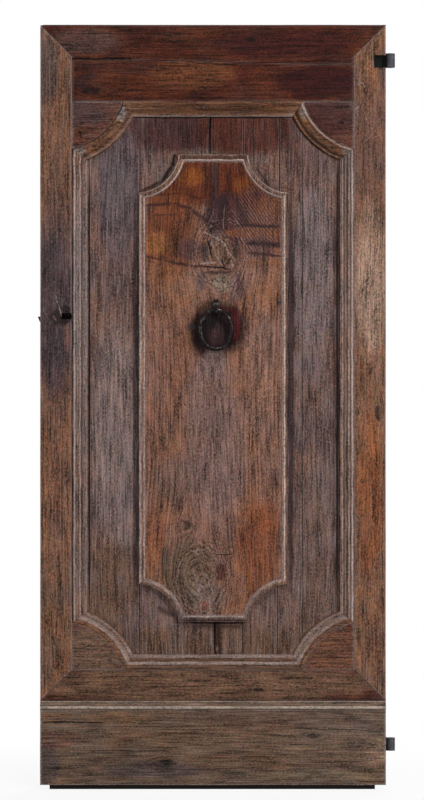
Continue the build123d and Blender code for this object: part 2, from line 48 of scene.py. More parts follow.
# The core: five oak planks, 26 mm thick, tongued into each other and standing the full height.
# Their joints lean a little, as planks sawn from a tapering log do, and have dried open.
# On the front they show as the field inside the frame, and on the back they are the whole door.
class Flow:
    """A value or colour on its way through a material, so that shader sums read as sums."""

    def __init__(self, finish, socket):
        self.finish = finish
        self.socket = socket

    def math(self, operation, *others):
        return self.finish.node("ShaderNodeMath", {"operation": operation}, [self, *others])

    def __add__(self, other):
        return self.math("ADD", other)

    def __sub__(self, other):
        return self.math("SUBTRACT", other)

    def __rsub__(self, other):
        return self.finish.node("ShaderNodeMath", {"operation": "SUBTRACT"}, [other, self])

    def __mul__(self, other):
        return self.math("MULTIPLY", other)

    def __truediv__(self, other):
        return self.math("DIVIDE", other)

    def __pow__(self, other):
        return self.math("POWER", other)

    def __neg__(self):
        return self.math("MULTIPLY", -1.0)

    __radd__ = __add__
    __rmul__ = __mul__

    def least(self, other):
        return self.math("MINIMUM", other)

    def most(self, other):
        return self.math("MAXIMUM", other)

    def rise(self, low, high, first=0.0, last=1.0):
        """First below low, last above high, and a smooth rise between."""
        settings = {"interpolation_type": "SMOOTHSTEP"}
        return self.finish.node("ShaderNodeMapRange", settings, [self, low, high, first, last])

    def fall(self, low, high, top=1.0):
        """The other way: top below low, and 0 above high."""
        return self.rise(low, high, top, 0.0)

    def vector(self, operation, *others):
        """The value that a vector operation gives, such as a length."""
        return self.finish.node("ShaderNodeVectorMath", {"operation": operation}, [self, *others], out=1)

    def parts(self):
        split = self.finish.node("ShaderNodeSeparateXYZ", {}, [self]).socket.node
        return [Flow(self.finish, out) for out in split.outputs]


class Finish:
    """A material made of nodes, or the world where that owns them."""

    def __init__(self, name, world=None):
        self.material = world or bpy.data.materials.new(name)
        self.material.use_nodes = True
        self.tree = self.material.node_tree
        self.tree.nodes.clear()

    def node(self, kind, settings=None, inputs=(), out=0):
        """Any node: its settings are set first, then the values or links of its sockets."""
        made = self.tree.nodes.new(kind)
        for key, value in (settings or {}).items():
            setattr(made, key, value)
        pairs = inputs.items() if isinstance(inputs, dict) else enumerate(inputs)
        for key, value in pairs:
            socket = made.inputs[key]
            if isinstance(value, Flow):
                self.tree.links.new(value.socket, socket)
            elif socket.type == "RGBA" and len(value) == 3:
                socket.default_value = (*value, 1.0)
            else:
                socket.default_value = value
        return Flow(self, made.outputs[out])

    def noise(self, where, scale, detail=2.0, rough=0.55, twist=0.0, out=0):
        sizes = {"Vector": where, "Scale": scale, "Detail": detail, "Roughness": rough, "Distortion": twist}
        return self.node("ShaderNodeTexNoise", {}, sizes, out)

    def lines(self, value, detail=3.0, rough=0.6):
        """Soft random bands along a value that counts them."""
        sizes = {"W": value, "Scale": 1.0, "Detail": detail, "Roughness": rough}
        return self.node("ShaderNodeTexNoise", {"noise_dimensions": "1D"}, sizes)

    def mix(self, amount, first, second, blend="MIX"):
        settings = {"data_type": "RGBA", "blend_type": blend, "clamp_factor": True}
        return self.node("ShaderNodeMix", settings, {0: amount, 6: first, 7: second}, out=2)

    def times(self, colour, value):
        return self.node("ShaderNodeVectorMath", {"operation": "SCALE"}, {0: colour, 3: value})

    def point(self, x, y, z):
        return self.node("ShaderNodeCombineXYZ", {}, [x, y, z])

    def surface(self, colour, roughness, height, depth, strength=1.0, **constants):
        """The shader itself, its bump height in metres at depth."""
        bump = self.node("ShaderNodeBump", {}, {"Strength": strength, "Distance": depth, "Height": height})
        values = {"Base Color": colour, "Roughness": roughness, "Normal": bump, **constants}
        self.show(self.node("ShaderNodeBsdfPrincipled", {}, values))
        return self.material

    def show(self, shader, kind="ShaderNodeOutputMaterial"):
        made = self.tree.nodes.new(kind)
        self.tree.links.new(shader.socket, made.inputs["Surface"])


def tinted(colour, share=1.0):
    """A share of a linear colour that is given in thousandths."""
    return [part * share / 1000 for part in colour]


def joined(mask, other):
    """The greater of two masks, of which the first may still be none."""
    return other if mask is None else mask.most(other)


def framed(wood, place, x, z, half_x, half_z, turn=0.0, shift=0.0):
    """The place as seen from a mark at x and z, in half widths and half heights of the mark."""
    sizes = {"Location": (x * mm + shift, 0.0, z * mm + shift), "Rotation": (0.0, turn, 0.0)}
    sizes["Scale"] = (half_x * mm, 1000.0, half_z * mm)
    return wood.node("ShaderNodeMapping", {"vector_type": "TEXTURE"}, {"Vector": place, **sizes})


def straying(wood, place):
    """A function that gives the place, pushed about by as much as its caller's wander."""
    wriggle = wood.noise(place, 46.0, 4.0, 0.72, out=1)
    places = {}

    def strays(wander):
        if wander not in places:
            amount = (wander * 4.5 * mm, 0.0, wander * 4.5 * mm)
            settings = {"operation": "MULTIPLY_ADD"}
            places[wander] = wood.node("ShaderNodeVectorMath", settings, [wriggle, amount, place])
        return places[wander]

    return strays


def stroke(wood, strays, start_x, start_z, end_x, end_z, half, wander, soft=0.6, top=1.0):
    """How far a point lies on a straggling line between two places, in millimetres, from 0 to top."""
    length, turn = hypot(end_x - start_x, end_z - start_z), -atan2(end_z - start_z, end_x - start_x)
    middle = ((start_x + end_x) / 2, (start_z + end_z) / 2)
    seen = framed(wood, strays(wander), *middle, length / 2, half, turn, wander * 2.25 * mm)
    along, off = seen.vector("DOT_PRODUCT", (1.0, 0.0, 0.0)), seen.vector("DOT_PRODUCT", (0.0, 0.0, 1.0))
    return (off.math("ABSOLUTE") + (along * along) ** 3.0).fall(soft, 1.3, top)


def strokes(wood, strays, marks):
    """How far a point lies on the nearest of several lines, from 0 to 1."""
    found = None
    for mark in marks:
        found = joined(found, stroke(wood, strays, *mark))
    return found


def bent_round(wood, place, run, across, along, line, knots, whorls):
    """The line of grain that a point lies on, parted round the knots, with how far it lies in a knot's
    heart. In a whorl the grain closes into rings: how far out the point is there, and how fully."""
    knot_dark, turned, turning = None, None, None
    for number, (knot_x, knot_z, radius, length) in enumerate([*knots, *whorls]):
        knot_run, knot_across = (knot_x, knot_z) if along == "x" else (knot_z, knot_x)
        side, far = across - knot_across * mm, (run - knot_run * mm) * (1.0 / length)
        away = side * side + far * far
        bend = (radius * mm) ** 2
        line = line - side * bend * 2.2 / (away + bend * 0.8)
        if number < len(knots):
            knot_dark = joined(knot_dark, 1.0 - (away / bend).rise(0.4, 1.3))
        else:
            reach = away.math("SQRT") + (wood.noise(place, 24.0, 4.0, 0.7) - 0.5) * 0.05
            turned = reach if turned is None else turned.least(reach)
            turning = joined(turning, 1.0 - (away / bend).rise(1.0, 9.0))
    return line, knot_dark, turned, turning


def patched(wood, place, ragged, colour, patches):
    """The colour with its patches on, their edges ragged, and the mask of where the strong ones cover it:
    oil, and some painted shadows.
    """
    strong_cover = None
    for patch_x, patch_z, half_x, half_z, tint, strength in patches:
        reach = framed(wood, place, patch_x, patch_z, half_x, half_z).vector("LENGTH") + ragged
        cover = reach.fall(0.65, 1.15, strength)
        colour = wood.mix(cover, colour, tinted(tint))
        if strength >= 0.9:
            strong_cover = joined(strong_cover, cover)
    return colour, strong_cover


def old_wood(
    name, along, dark, body, warm, dust_and_highlight, dusty=0.5, patches=(), knots=(), whorls=(), cracks=(), scratches=(),
    stains=(), combed=(), pale=1.0,
):
    """Old oak, finished with oil. Patches are (x, z, half width, half height, colour, strength), knots and
    whorls (x, z, radius, length), cracks and scratches (x, z, x, z, half width, wander), stains the same with
    a colour and strength after them, and combed (x, z, half width, half height). They are in
    millimetres, and colours in thousandths. A patch of 0.9 or more covers strongly and leaves the wood
    less dusty, as oil does. Some patches, stains and cracks are painted shadow and shade. The
    dust_and_highlight colour paints dust and worn arrises, and also the painted highlights of the mouldings."""
    wood = Finish(name)
    place = wood.node("ShaderNodeTexCoord", out="Object")
    board = wood.node("ShaderNodeAttribute", {"attribute_name": "board"}, out="Fac")
    edge = wood.node("ShaderNodeAttribute", {"attribute_name": "edge"}, out="Fac")
    x, y, z = place.parts()
    on_front = 1.0 - y.rise(0.0, 0.006)

    # The grain: lines along the board, which part round a knot and close into rings in a whorl.
    run, across = (x, z) if along == "x" else (z, x)
    shifted = wood.point(across + board * 1.7, y, run + board * 3.1)
    drift = wood.noise(shifted, 2.0, 3.0) - 0.5
    line = across + drift * 0.03 + board * 1.7
    line, knot_dark, turned, turning = bent_round(wood, place, run, across, along, line, knots, whorls)
    figure = wood.lines(line * 150.0 + y * 30.0, 4.0, 0.7)
    if whorls:
        whorl = wood.lines(turned * 210.0 + drift * 9.0, 3.0, 0.65)
        figure = figure + (whorl - figure) * turning
    streak = wood.noise(wood.point(line, y * 0.6, run * 0.05), 230.0, 3.0, 0.65)
    fleck = wood.noise(wood.point(line, y, run * 0.03), 340.0, 2.0, 0.6)

    # Unevenness of every size, from clouds of colour down to specks of dust and dirt.
    cloud = wood.noise(shifted, 8.0, 5.0, 0.62)
    mottle = wood.noise(wood.point(across + board, y, run * 0.3 + 5.0), 34.0, 5.0, 0.7)
    haze = wood.noise(wood.point(across + board, y, run * 0.5 + 3.0), 12.0, 5.0, 0.65)
    speck = wood.noise(wood.point(across, y, run * 0.55), 330.0, 3.0, 0.75)
    hues = wood.noise(place, 240.0, 3.0, 0.8, out=1)

    # The colour of the wood, with the patches that light, oil and hands have given it, and some painted
    # shadows.
    colour = wood.mix(cloud.rise(0.38, 0.62), tinted(body), tinted(warm))
    colour = wood.mix((0.48 - mottle).rise(0.0, 0.2) * 0.35, colour, tinted(dark))
    ragged = (haze - 0.5) * 1.2 + (1.0 - on_front) * 9.0
    colour, strong_cover = patched(wood, place, ragged, colour, patches)
    if knots:
        rings = (line * 700.0).math("SINE") * 0.25 + 0.75
        colour = wood.mix(knot_dark * rings * on_front, colour, tinted(dark, 0.3))
    strength = 1.3 + turning * 1.8 if whorls else 1.3
    shade = 1.0 + (figure - 0.5) * strength + (streak - 0.5) * 3.4 + (speck - 0.5) * 4.0
    shade = shade + (mottle - 0.5) * 2.4
    colour = wood.times(colour, shade.most(0.1))
    colour = wood.mix(1.0, colour, wood.mix(0.8, (1.0, 1.0, 1.0), wood.times(hues, 2.0)), "MULTIPLY")

    # Dust in the open grain, pale specks, and dirt in the pores.
    if strong_cover is not None:
        dusty = (1.0 - strong_cover * 0.75) * dusty
    settled = haze.rise(0.44, 0.64) * (0.3 + streak.rise(0.4, 0.62) * 0.7) * dusty
    colour = wood.mix(settled * 0.6, colour, tinted(dust_and_highlight))
    colour = wood.mix(fleck.rise(0.58, 0.7) * haze * 1.3 * dusty, colour, tinted(dust_and_highlight, 1.8))
    colour = wood.mix(speck.rise(0.6, 0.72) * 0.8 * dusty, colour, tinted(dust_and_highlight, 2.1))
    colour = wood.mix((0.4 - speck).rise(0.0, 0.1) * 0.4, colour, tinted(dark, 0.25))
    if whorls:
        raised = turning * whorl.rise(0.54, 0.66) * speck.rise(0.4, 0.6)
        colour = wood.mix(raised * 0.5, colour, tinted(dust_and_highlight, 1.5))
        colour = wood.mix(turning * (0.46 - whorl).rise(0.0, 0.1) * 0.5, colour, tinted(dark, 0.4))
    for comb_x, comb_z, half_x, half_z in combed:
        seen = framed(wood, place, comb_x, comb_z, half_x, half_z)
        inside = (seen.vector("LENGTH") + ragged).fall(0.6, 1.0)
        teeth = ((x * 0.8 + z * 0.6 + drift * 0.03 + (haze - 0.5) * 0.02) * 860.0).math("SINE")
        lit = inside * (mottle * 2.0 - 0.3).most(0.0) * speck.rise(0.3, 0.6)
        colour = wood.mix((lit * teeth.rise(0.5, 1.0) * 0.7).least(1.0), colour, tinted(dust_and_highlight, 1.4))
        colour = wood.mix((lit * (-teeth).rise(0.0, 0.9) * 0.6).least(1.0), colour, tinted(dark, 0.4))

    # Stains, then the edge attribute: arrises worn pale, on the mouldings partly painted highlight, and
    # quirks dark with dirt, on the mouldings partly painted shade. Then scratches and cracks.
    strays = straying(wood, place)
    uneven = (0.4 + mottle * 1.1) * on_front
    for *line_of_stain, tint, strength in stains:
        mark = stroke(wood, strays, *line_of_stain, soft=0.0, top=strength) * uneven
        colour = wood.mix(mark, colour, tinted(tint))
    wear_and_light = edge.rise(0.1, 0.95) * (0.3 + speck.rise(0.4, 0.6) * 0.7) * (0.5 + cloud.rise(0.35, 0.6) * 0.5)
    colour = wood.mix(wear_and_light * pale, colour, tinted(dust_and_highlight, 1.8))
    colour = wood.mix((-edge).rise(0.1, 0.9) * 0.9, colour, tinted(dark, 0.12))
    height = figure * 0.3 + streak * 0.6 + fleck * 0.2 + speck * 0.5
    if scratches:
        scored = strokes(wood, strays, scratches) * on_front * (0.15 + speck.rise(0.4, 0.56) * 0.85)
        colour = wood.mix(scored * 0.85, colour, tinted(dust_and_highlight, 1.8))
        height = height - scored * 0.8
    if cracks:
        split = strokes(wood, strays, cracks) * on_front
        colour = wood.mix(split * 0.95, colour, tinted((4, 3, 3)))
        height = height - split * 2.5
    rough = 0.58 - streak * 0.2 + settled * 0.25
    return wood.surface(colour, rough, height, 0.0009, **{"Specular IOR Level": 0.1})


core_wood = old_wood(
    "core wood",
    "z",
    dark=(45, 24, 22),
    body=(105, 62, 55),
    warm=(150, 78, 55),
    dust_and_highlight=(180, 145, 148),
    dusty=0.7,
    patches=[
        (-90, 1720, 170, 60, (50, 18, 16), 0.95), (100, 1720, 150, 70, (62, 15, 8), 0.95),
        (-250, 1560, 60, 200, (80, 58, 66), 0.8), (260, 1350, 60, 260, (135, 100, 98), 0.7),
        (-255, 900, 70, 320, (190, 135, 125), 0.75), (250, 1660, 70, 90, (95, 48, 40), 0.7),
        (270, 640, 70, 260, (130, 82, 70), 0.5), (0, 360, 340, 60, (105, 54, 30), 0.8),
        (-270, 500, 70, 150, (110, 56, 32), 0.75), (275, 470, 70, 130, (110, 60, 42), 0.6),
        (-270, 1700, 60, 70, (75, 48, 50), 0.6), (260, 1750, 60, 60, (85, 56, 56), 0.6),
        # The long dark bands at x -203, 205 and 323 are painted shadow that the panel strip and the right
        # moulding cast on the field. The band at 205 is partly dirt as well.
        (205, 1050, 9, 620, (40, 22, 22), 0.95), (-203, 1050, 9, 620, (45, 26, 26), 0.85),
        (323, 1050, 8, 640, (40, 20, 18), 0.7),
    ],
    cracks=[
        (236, 300, 236, 1800, 0.6, 1), (5, 440, 6, 330, 1.8, 3), (-6, 1770, -8, 1660, 2.2, 2),
        # The long lines at x -326 and 327, along the feet of the side mouldings, are painted shade with dirt
        # in those joints. The line at z 1757 is painted shadow under the top moulding, and the line at z 425
        # is painted shadow under the foot of the panel strip.
        (-326, 430, -326, 1665, 2.4, 1.0), (327, 430, 327, 1665, 2.2, 1.0),
        (-230, 1757, 230, 1757, 1.6, 0.6), (-70, 426, 90, 425, 2.0, 1),
    ],
    stains=[
        # These are painted shadow that the panel strip casts on the field: the near-black strokes outside the
        # strip's top left corner, the stroke at z 416 under its foot, and the stroke outside its lower left
        # corner.
        (13, 440, 17, 330, 10, 5, (26, 10, 9), 1.0), (-100, 1664, -108, 1625, 8, 3, (8, 5, 5), 1.0),
        (-106, 1630, -138, 1586, 8, 3, (8, 5, 5), 1.0), (-136, 1588, -190, 1562, 6, 3, (10, 6, 6), 0.9),
        (110, 1630, 150, 1575, 5, 3, (30, 16, 14), 0.8), (-60, 418, 90, 416, 8, 3, (40, 22, 18), 0.8),
        (-150, 470, -100, 440, 12, 5, (36, 22, 20), 0.8),
    ],
)


def spread(low, high, step):
    """Even places from low to high, about a step apart."""
    count = max(1, round((high - low) / step))
    return [low + (high - low) * i / count for i in range(count + 1)]


def lofted(name, rings, edges, board=0.0):
    """A closed form through equal rings of points in millimetres, edges giving the wear of the points of
    one ring, or of them all."""
    count = len(rings[0])
    points = [Vector(point) * mm for ring in rings for point in ring]
    faces = []
    for row in range(len(rings) - 1):
        for i in range(count):
            a, b = row * count + i, row * count + (i + 1) % count
            faces.append((a, b, b + count, a + count))
    faces.append(tuple(reversed(range(count))))
    faces.append(tuple(range((len(rings) - 1) * count, len(rings) * count)))
    mesh = bpy.data.meshes.new(name)
    mesh.from_pydata(points, [], faces)
    flipped = bmesh.new()
    flipped.from_mesh(mesh)
    bmesh.ops.recalc_face_normals(flipped, faces=flipped.faces)
    flipped.to_mesh(mesh)
    flipped.free()
    wear = mesh.attributes.new("edge", "FLOAT", "POINT")
    wear.data.foreach_set("value", list(edges) * (len(mesh.vertices) // len(edges)))
    return placed(name, mesh, board)


def placed(name, mesh, board=0.0):
    """An object of the mesh, with its board number and its smooth and sharp edges set."""
    number = mesh.attributes.new("board", "FLOAT", "POINT")
    number.data.foreach_set("value", [board] * len(mesh.vertices))
    mesh.shade_smooth()
    mesh.set_sharp_from_angle(angle=radians(38))
    return added(name, mesh)


def added(name, data):
    """An object of the data, at the origin of the scene."""
    piece = bpy.data.objects.new(name, data)
    bpy.context.scene.collection.objects.link(piece)
    return piece


def weather(piece, depth, scale, long_way, dents=(), back=-3.5):
    """Sink the surface unevenly along its normals, up to depth, and deeper in the dents, but not where
    it lies behind back. Dents are (x, z, half width, half height, depth), sunk into the front."""
    mesh = piece.data
    stretch = Vector((scale, scale, scale))
    stretch["xyz".index(long_way)] *= 0.28
    facings = [vertex.normal.copy() for vertex in mesh.vertices]
    for vertex, facing in zip(mesh.vertices, facings):
        at = vertex.co.copy()
        if at.y > back * mm:
            continue
        sample = Vector((at.x * stretch.x, at.y * stretch.y, at.z * stretch.z))
        sink = (0.5 + 0.5 * noise.noise(sample)) * 0.7 + (0.5 + 0.5 * noise.noise(sample * 3.3)) * 0.3
        at -= facing * (depth * mm * sink)
        if facing.y < -0.3:
            for dent_x, dent_z, half_x, half_z, deep in dents:
                far = hypot((at.x - dent_x * mm) / (half_x * mm), (at.z - dent_z * mm) / (half_z * mm))
                far += 0.35 * noise.noise(at * 160)
                if far < 1:
                    at.y += deep * mm * (1 - far * far) ** 1.5
        vertex.co = at
    mesh.update()


def dress(piece, node, material, body="leaf"):
    """Give the piece its material, and put it on its body in place of the plain solid."""
    piece.data.materials.clear()
    piece.data.materials.append(material)
    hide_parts(node)
    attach(piece, body)


def sliced(shape, axis, place, near):
    """Cut new edges where a flat plane across the axis meets the shape."""
    where, normal = [0, 0, 0], [0, 0, 0]
    where[axis], normal[axis] = place, 1
    parts = shape.verts[:] + shape.edges[:] + shape.faces[:]
    bmesh.ops.bisect_plane(shape, geom=parts, dist=near, plane_co=where, plane_no=normal)


def cut_out(piece, low_x, high_x, low_z, high_z):
    """Cut a square hole, or a notch where it runs past the edge, right through the piece."""
    shape = bmesh.new()
    shape.from_mesh(piece.data)
    walls = [(0, low_x * mm), (0, high_x * mm), (2, low_z * mm), (2, high_z * mm)]
    for axis, place in walls:
        sliced(shape, axis, place, 1e-6)
    inside = []
    for face in shape.faces:
        middle = face.calc_center_median()
        if walls[0][1] < middle.x < walls[1][1] and walls[2][1] < middle.z < walls[3][1]:
            inside.append(face)
    bmesh.ops.delete(shape, geom=inside, context="FACES")
    rim = {vertex for edge in shape.edges if edge.is_boundary for vertex in edge.verts}
    for x in (walls[0][1], walls[1][1]):
        for z in (walls[2][1], walls[3][1]):
            ends = [vertex for vertex in rim if abs(vertex.co.x - x) < 1e-5 and abs(vertex.co.z - z) < 1e-5]
            if len(ends) == 2:
                shape.edges.new(ends)
    for axis, place in walls:
        loop = [
            edge
            for edge in shape.edges
            if len(edge.link_faces) < 2 and all(abs(vertex.co[axis] - place) < 1e-5 for vertex in edge.verts)
        ]
        if loop:
            bmesh.ops.triangle_fill(shape, use_beauty=True, edges=loop)
    bmesh.ops.recalc_face_normals(shape, faces=shape.faces)
    shape.to_mesh(piece.data)
    shape.free()
    piece.data.set_sharp_from_angle(angle=radians(38))


def extent(node):
    """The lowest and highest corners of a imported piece, in millimetres."""
    return [[round(value / mm, 1) for value in corner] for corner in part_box(node)]


(_, plank_front, _), (leaf_side, plank_back, leaf_top) = extent("core_plank_5")
tongue_length, tongue_front, tongue_back, groove_gap, half_gap = 7, 6, 14, 0.3, 0.6
groove_front, groove_back = tongue_front - groove_gap, tongue_back + groove_gap
finger_hole = (-398, -373, 1225, 1241)
hinge_notch = (424, 460, 1887, 1920)
plank_joints = [(-195, -192), (7, -9), (76, 81), (168, 177)]
plank_dents = [
    (-1, 395, 9, 60, 7), (12, 360, 7, 40, 6), (-193, 1300, 4, 300, 1.5), (78, 900, 4, 200, 2),
    (-60, 408, 60, 12, 2), (172, 500, 4, 120, 2), (-8, 1720, 5, 60, 3),
]
left_joints = [(-leaf_side, -leaf_side)] + [(foot + half_gap, head + half_gap) for foot, head in plank_joints]
right_joints = [(foot - half_gap, head - half_gap) for foot, head in plank_joints] + [(leaf_side, leaf_side)]
for number, (left, right) in enumerate(zip(left_joints, right_joints), start=1):
    tongue = tongue_length if number < 5 else 0
    groove = tongue_length if number > 1 else 0
    across = round((right[0] - left[0]) / 6.5)
    rings = []
    for z in spread(0, leaf_top, 10):
        low = left[0] + (left[1] - left[0]) * z / leaf_top
        high = right[0] + (right[1] - right[0]) * z / leaf_top
        worn = 1.0 + 0.9 * noise.noise(Vector((number * 5.0, 0.0, z * 0.02)))
        columns = [low + 3 + (high - low - 6) * i / across for i in range(across + 1)]
        eased = [(0, worn), (0.4 * worn, 0.4 * worn), (worn, 0)]
        front = [(low + along, plank_front + deep) for along, deep in eased]
        front += [(x, plank_front) for x in columns]
        front += [(high - along, plank_front + deep) for along, deep in reversed(eased)]
        side = [(high, tongue_front), (high + tongue, tongue_front)]
        side += [(high + tongue, tongue_back), (high, tongue_back)]
        back = [(high - along, plank_back - deep) for along, deep in eased]
        back += [(x, plank_back) for x in reversed(columns)]
        back += [(low + along, plank_back - deep) for along, deep in reversed(eased)]
        other = [(low, groove_back), (low + groove, groove_back)]
        other += [(low + groove, groove_front), (low, groove_front)]
        rings.append([(x, y, z) for x, y in front + side + back + other])
    wide = len(front) - 6
    face = [-0.6, 0.5, 0.7] + [0.0] * wide + [0.7, 0.5, -0.6]
    plank = lofted(f"plank_{number}", rings, face + [-1.0] * 4 + face + [-1.0] * 4, number)
    if number == 1:
        cut_out(plank, *finger_hole)
    if number == 5:
        cut_out(plank, *hinge_notch)
    weather(plank, 0.9, 16, "z", plank_dents, plank_back + 1)
    dress(plank, f"core_plank_{number}", core_wood)


# The face frame: stiles and rails of 20 mm oak, planted on the planks with forged nails.
# The corners are mitred, and the rail joint over the frieze wanders where its board was sawn by eye.
# The arrises are rounded by wear, and the latch side is black from long handling.
(stile_edge, frame_face, kick_top), _ = extent("stile_right")
field_foot, field_top = extent("bottom_rail")[1][2], extent("frieze_rail")[0][2]
frieze_left, frieze_right = extent("frieze_rail")[1][2], extent("top_rail")[0][2]
mitre_top = leaf_top - (leaf_side - stile_edge)
knocked_corner = 9


def edge_distance(point, outline):
    """How far a point in the leaf's plane lies from an outline."""
    best = 1e9
    for start, end in zip(outline, outline[1:] + outline[:1]):
        ax, az = end[0] - start[0], end[1] - start[1]
        t = ((point[0] - start[0]) * ax + (point[1] - start[1]) * az) / (ax * ax + az * az)
        t = min(1, max(0, t))
        best = min(best, hypot(point[0] - start[0] - ax * t, point[1] - start[1] - az * t))
    return best


def slab(name, outline, step_x, step_z, face=frame_face, wear=1.6, board=0.0):
    """A board planted on the planks, with any outline, its front gridded and its front arris rounded."""
    shape = bmesh.new()
    sheet = shape.faces.new([shape.verts.new((x, face, z)) for x, z in outline])
    for band in (wear * 0.35, wear * 0.75, 2.5):
        bmesh.ops.inset_region(shape, faces=[sheet], thickness=band, use_even_offset=True)
    lows = [min(point[i] for point in outline) for i in (0, 1)]
    highs = [max(point[i] for point in outline) for i in (0, 1)]
    for axis, low, high, step in ((0, lows[0], highs[0], step_x), (2, lows[1], highs[1], step_z)):
        for place in spread(low, high, step)[1:-1]:
            sliced(shape, axis, place, 0.02)
    mark = shape.verts.layers.float.new("edge")
    for vertex in shape.verts:
        away = edge_distance((vertex.co.x, vertex.co.z), outline)
        vertex[mark] = max(0.0, 0.8 - away / 2.2)
        local = wear * (0.9 + 0.8 * noise.noise(vertex.co * 0.021))
        if away < local:
            vertex.co.y += local - sqrt(max(0.0, local**2 - (local - away) ** 2))
    rim = [edge for edge in shape.edges if edge.is_boundary]
    for depth in spread(face, plank_front, 8)[1:]:
        made = bmesh.ops.extrude_edge_only(shape, edges=rim)["geom"]
        for vertex in (part for part in made if isinstance(part, bmesh.types.BMVert)):
            vertex.co.y = depth
            vertex[mark] = 0.0 if depth < plank_front else -0.5
        rim = [part for part in made if isinstance(part, bmesh.types.BMEdge) and part.is_boundary]
    bmesh.ops.contextual_create(shape, geom=rim)
    bmesh.ops.recalc_face_normals(shape, faces=shape.faces)
    bmesh.ops.scale(shape, vec=(mm, mm, mm), verts=shape.verts)
    mesh = bpy.data.meshes.new(name)
    shape.to_mesh(mesh)
    shape.free()
    return placed(name, mesh, board)


def ease_corner(piece, x, z, radius):
    """Round off the leaf's corner that has been knocked away, in the leaf's plane."""
    side, end = (-1 if x < 0 else 1), (-1 if z < leaf_top / 2 else 1)
    centre = Vector(((x - side * radius) * mm, 0, (z - end * radius) * mm))
    for vertex in piece.data.vertices:
        out = Vector((vertex.co.x - centre.x, 0, vertex.co.z - centre.z))
        if out.x * side > 0 and out.z * end > 0 and out.length > radius * mm:
            out *= radius * mm / out.length
            vertex.co.x, vertex.co.z = centre.x + out.x, centre.z + out.z


stile_wood = old_wood(
    "stile wood",
    "z",
    dark=(50, 24, 16),
    body=(135, 68, 42),
    warm=(185, 80, 40),
    dust_and_highlight=(165, 128, 120),
    dusty=0.45,
    patches=[
        (-413, 1790, 50, 170, (110, 55, 36), 0.6), (-415, 1270, 64, 300, (50, 34, 41), 0.9),
        (-384, 1180, 11, 44, (135, 62, 46), 0.65), (-404, 1232, 30, 26, (16, 9, 10), 0.95),
        (-440, 1890, 34, 110, (70, 46, 40), 0.8), (-412, 1560, 30, 130, (120, 62, 44), 0.5),
        (-405, 800, 30, 260, (150, 70, 48), 0.5), (413, 1835, 34, 45, (250, 105, 50), 0.6),
        (446, 1880, 12, 70, (70, 40, 34), 0.7), (413, 1690, 60, 170, (105, 48, 34), 0.7),
        (414, 1330, 48, 210, (320, 200, 140), 0.6), (408, 1290, 34, 150, (360, 225, 160), 0.55),
        (412, 760, 34, 270, (195, 64, 24), 0.8), (430, 360, 30, 90, (110, 52, 34), 0.6),
        (-438, 330, 30, 90, (120, 70, 50), 0.5),
    ],
    knots=[(434, 978, 9, 2.4), (379, 981, 6, 2.0)],
    cracks=[
        (399, 1770, 396, 1590, 0.5, 1), (-402, 560, -399, 430, 0.5, 1), (-374, 1233, -364, 1229, 3.5, 2),
        (-404, 1258, -378, 1240, 1.2, 2), (-398, 1206, -374, 1222, 1.0, 2),
        (-400, 1228, -394, 1226, 3.0, 2),
    ],
    stains=[
        (-396, 1262, -374, 1246, 8, 3, (14, 9, 9), 1.0), (-402, 1216, -378, 1222, 7, 3, (16, 8, 9), 1.0),
        (-440, 1232, -398, 1230, 6, 3, (24, 15, 17), 0.8),
        # (422, 1925), by the upper hinge notch, is painted shadow of the hinge eye, with dirt.
        (422, 1925, 446, 1880, 9, 3, (20, 14, 14), 0.8), (424, 120, 450, 90, 12, 4, (20, 14, 13), 0.6),
        (365, 296, 382, 282, 9, 4, (12, 8, 8), 1.0),
    ],
    scratches=[
        (-415, 1290, -400, 1238, 1.6, 2), (-404, 1262, -398, 1232, 1.4, 2),
        (-420, 1232, -412, 1222, 2.2, 3), (-447, 1256, -436, 1226, 1.0, 2),
        (372, 1770, 392, 1800, 1.4, 3), (384, 1790, 380, 1752, 1.2, 3), (396, 1775, 408, 1740, 1.0, 3),
        (414, 1720, 440, 1756, 0.8, 2), (420, 1700, 444, 1712, 0.8, 2), (398, 1690, 430, 1725, 0.7, 2),
        (378, 1842, 396, 1846, 1.6, 3), (388, 1850, 400, 1836, 1.4, 3),
    ],
)
rail_wood = old_wood(
    "rail wood",
    "x",
    dark=(18, 5, 4),
    body=(42, 9, 5),
    warm=(72, 17, 6),
    dust_and_highlight=(92, 62, 55),
    dusty=0.22,
    patches=[
        (-330, 1955, 100, 40, (75, 40, 34), 0.7), (-60, 1870, 120, 40, (130, 45, 18), 0.6),
        (160, 1950, 200, 34, (40, 8, 6), 0.9), (-320, 1850, 44, 24, (16, 8, 9), 0.8),
        (280, 1850, 130, 50, (24, 4, 4), 0.9), (-230, 1850, 110, 30, (72, 19, 7), 0.6),
        (0, 265, 520, 60, (118, 62, 38), 1.0), (40, 265, 200, 30, (145, 78, 48), 0.5),
    ],
    knots=[(-322, 1826, 10, 2.6), (100, 1960, 7, 2.2), (120, 250, 6, 2.5)],
    cracks=[
        (-385, 1910, -205, 1911, 2.2, 4), (-75, 1902, 70, 1893, 1.1, 2), (-60, 1808, 30, 1806, 1.2, 2),
        (-210, 258, 150, 262, 0.5, 2),
    ],
)
stile_outline = [(leaf_side, kick_top), (leaf_side, leaf_top)]
stile_outline += [(stile_edge, mitre_top), (stile_edge, field_foot)]
mirrored = [(-x, z) for x, z in stile_outline[:1] + stile_outline[:0:-1]]
stile_left = slab("left_stile", mirrored, 6, 9)
cut_out(stile_left, *finger_hole)
weather(stile_left, 1.4, 15, "z", [(-375, 1227, 7, 16, 5), (-455, 1300, 5, 160, 3), (-371, 1912, 6, 6, 4)])
ease_corner(stile_left, -leaf_side, leaf_top, knocked_corner)
dress(stile_left, "stile_left", stile_wood)
stile_right = slab("right_stile", stile_outline, 6, 9)
cut_out(stile_right, *hinge_notch)
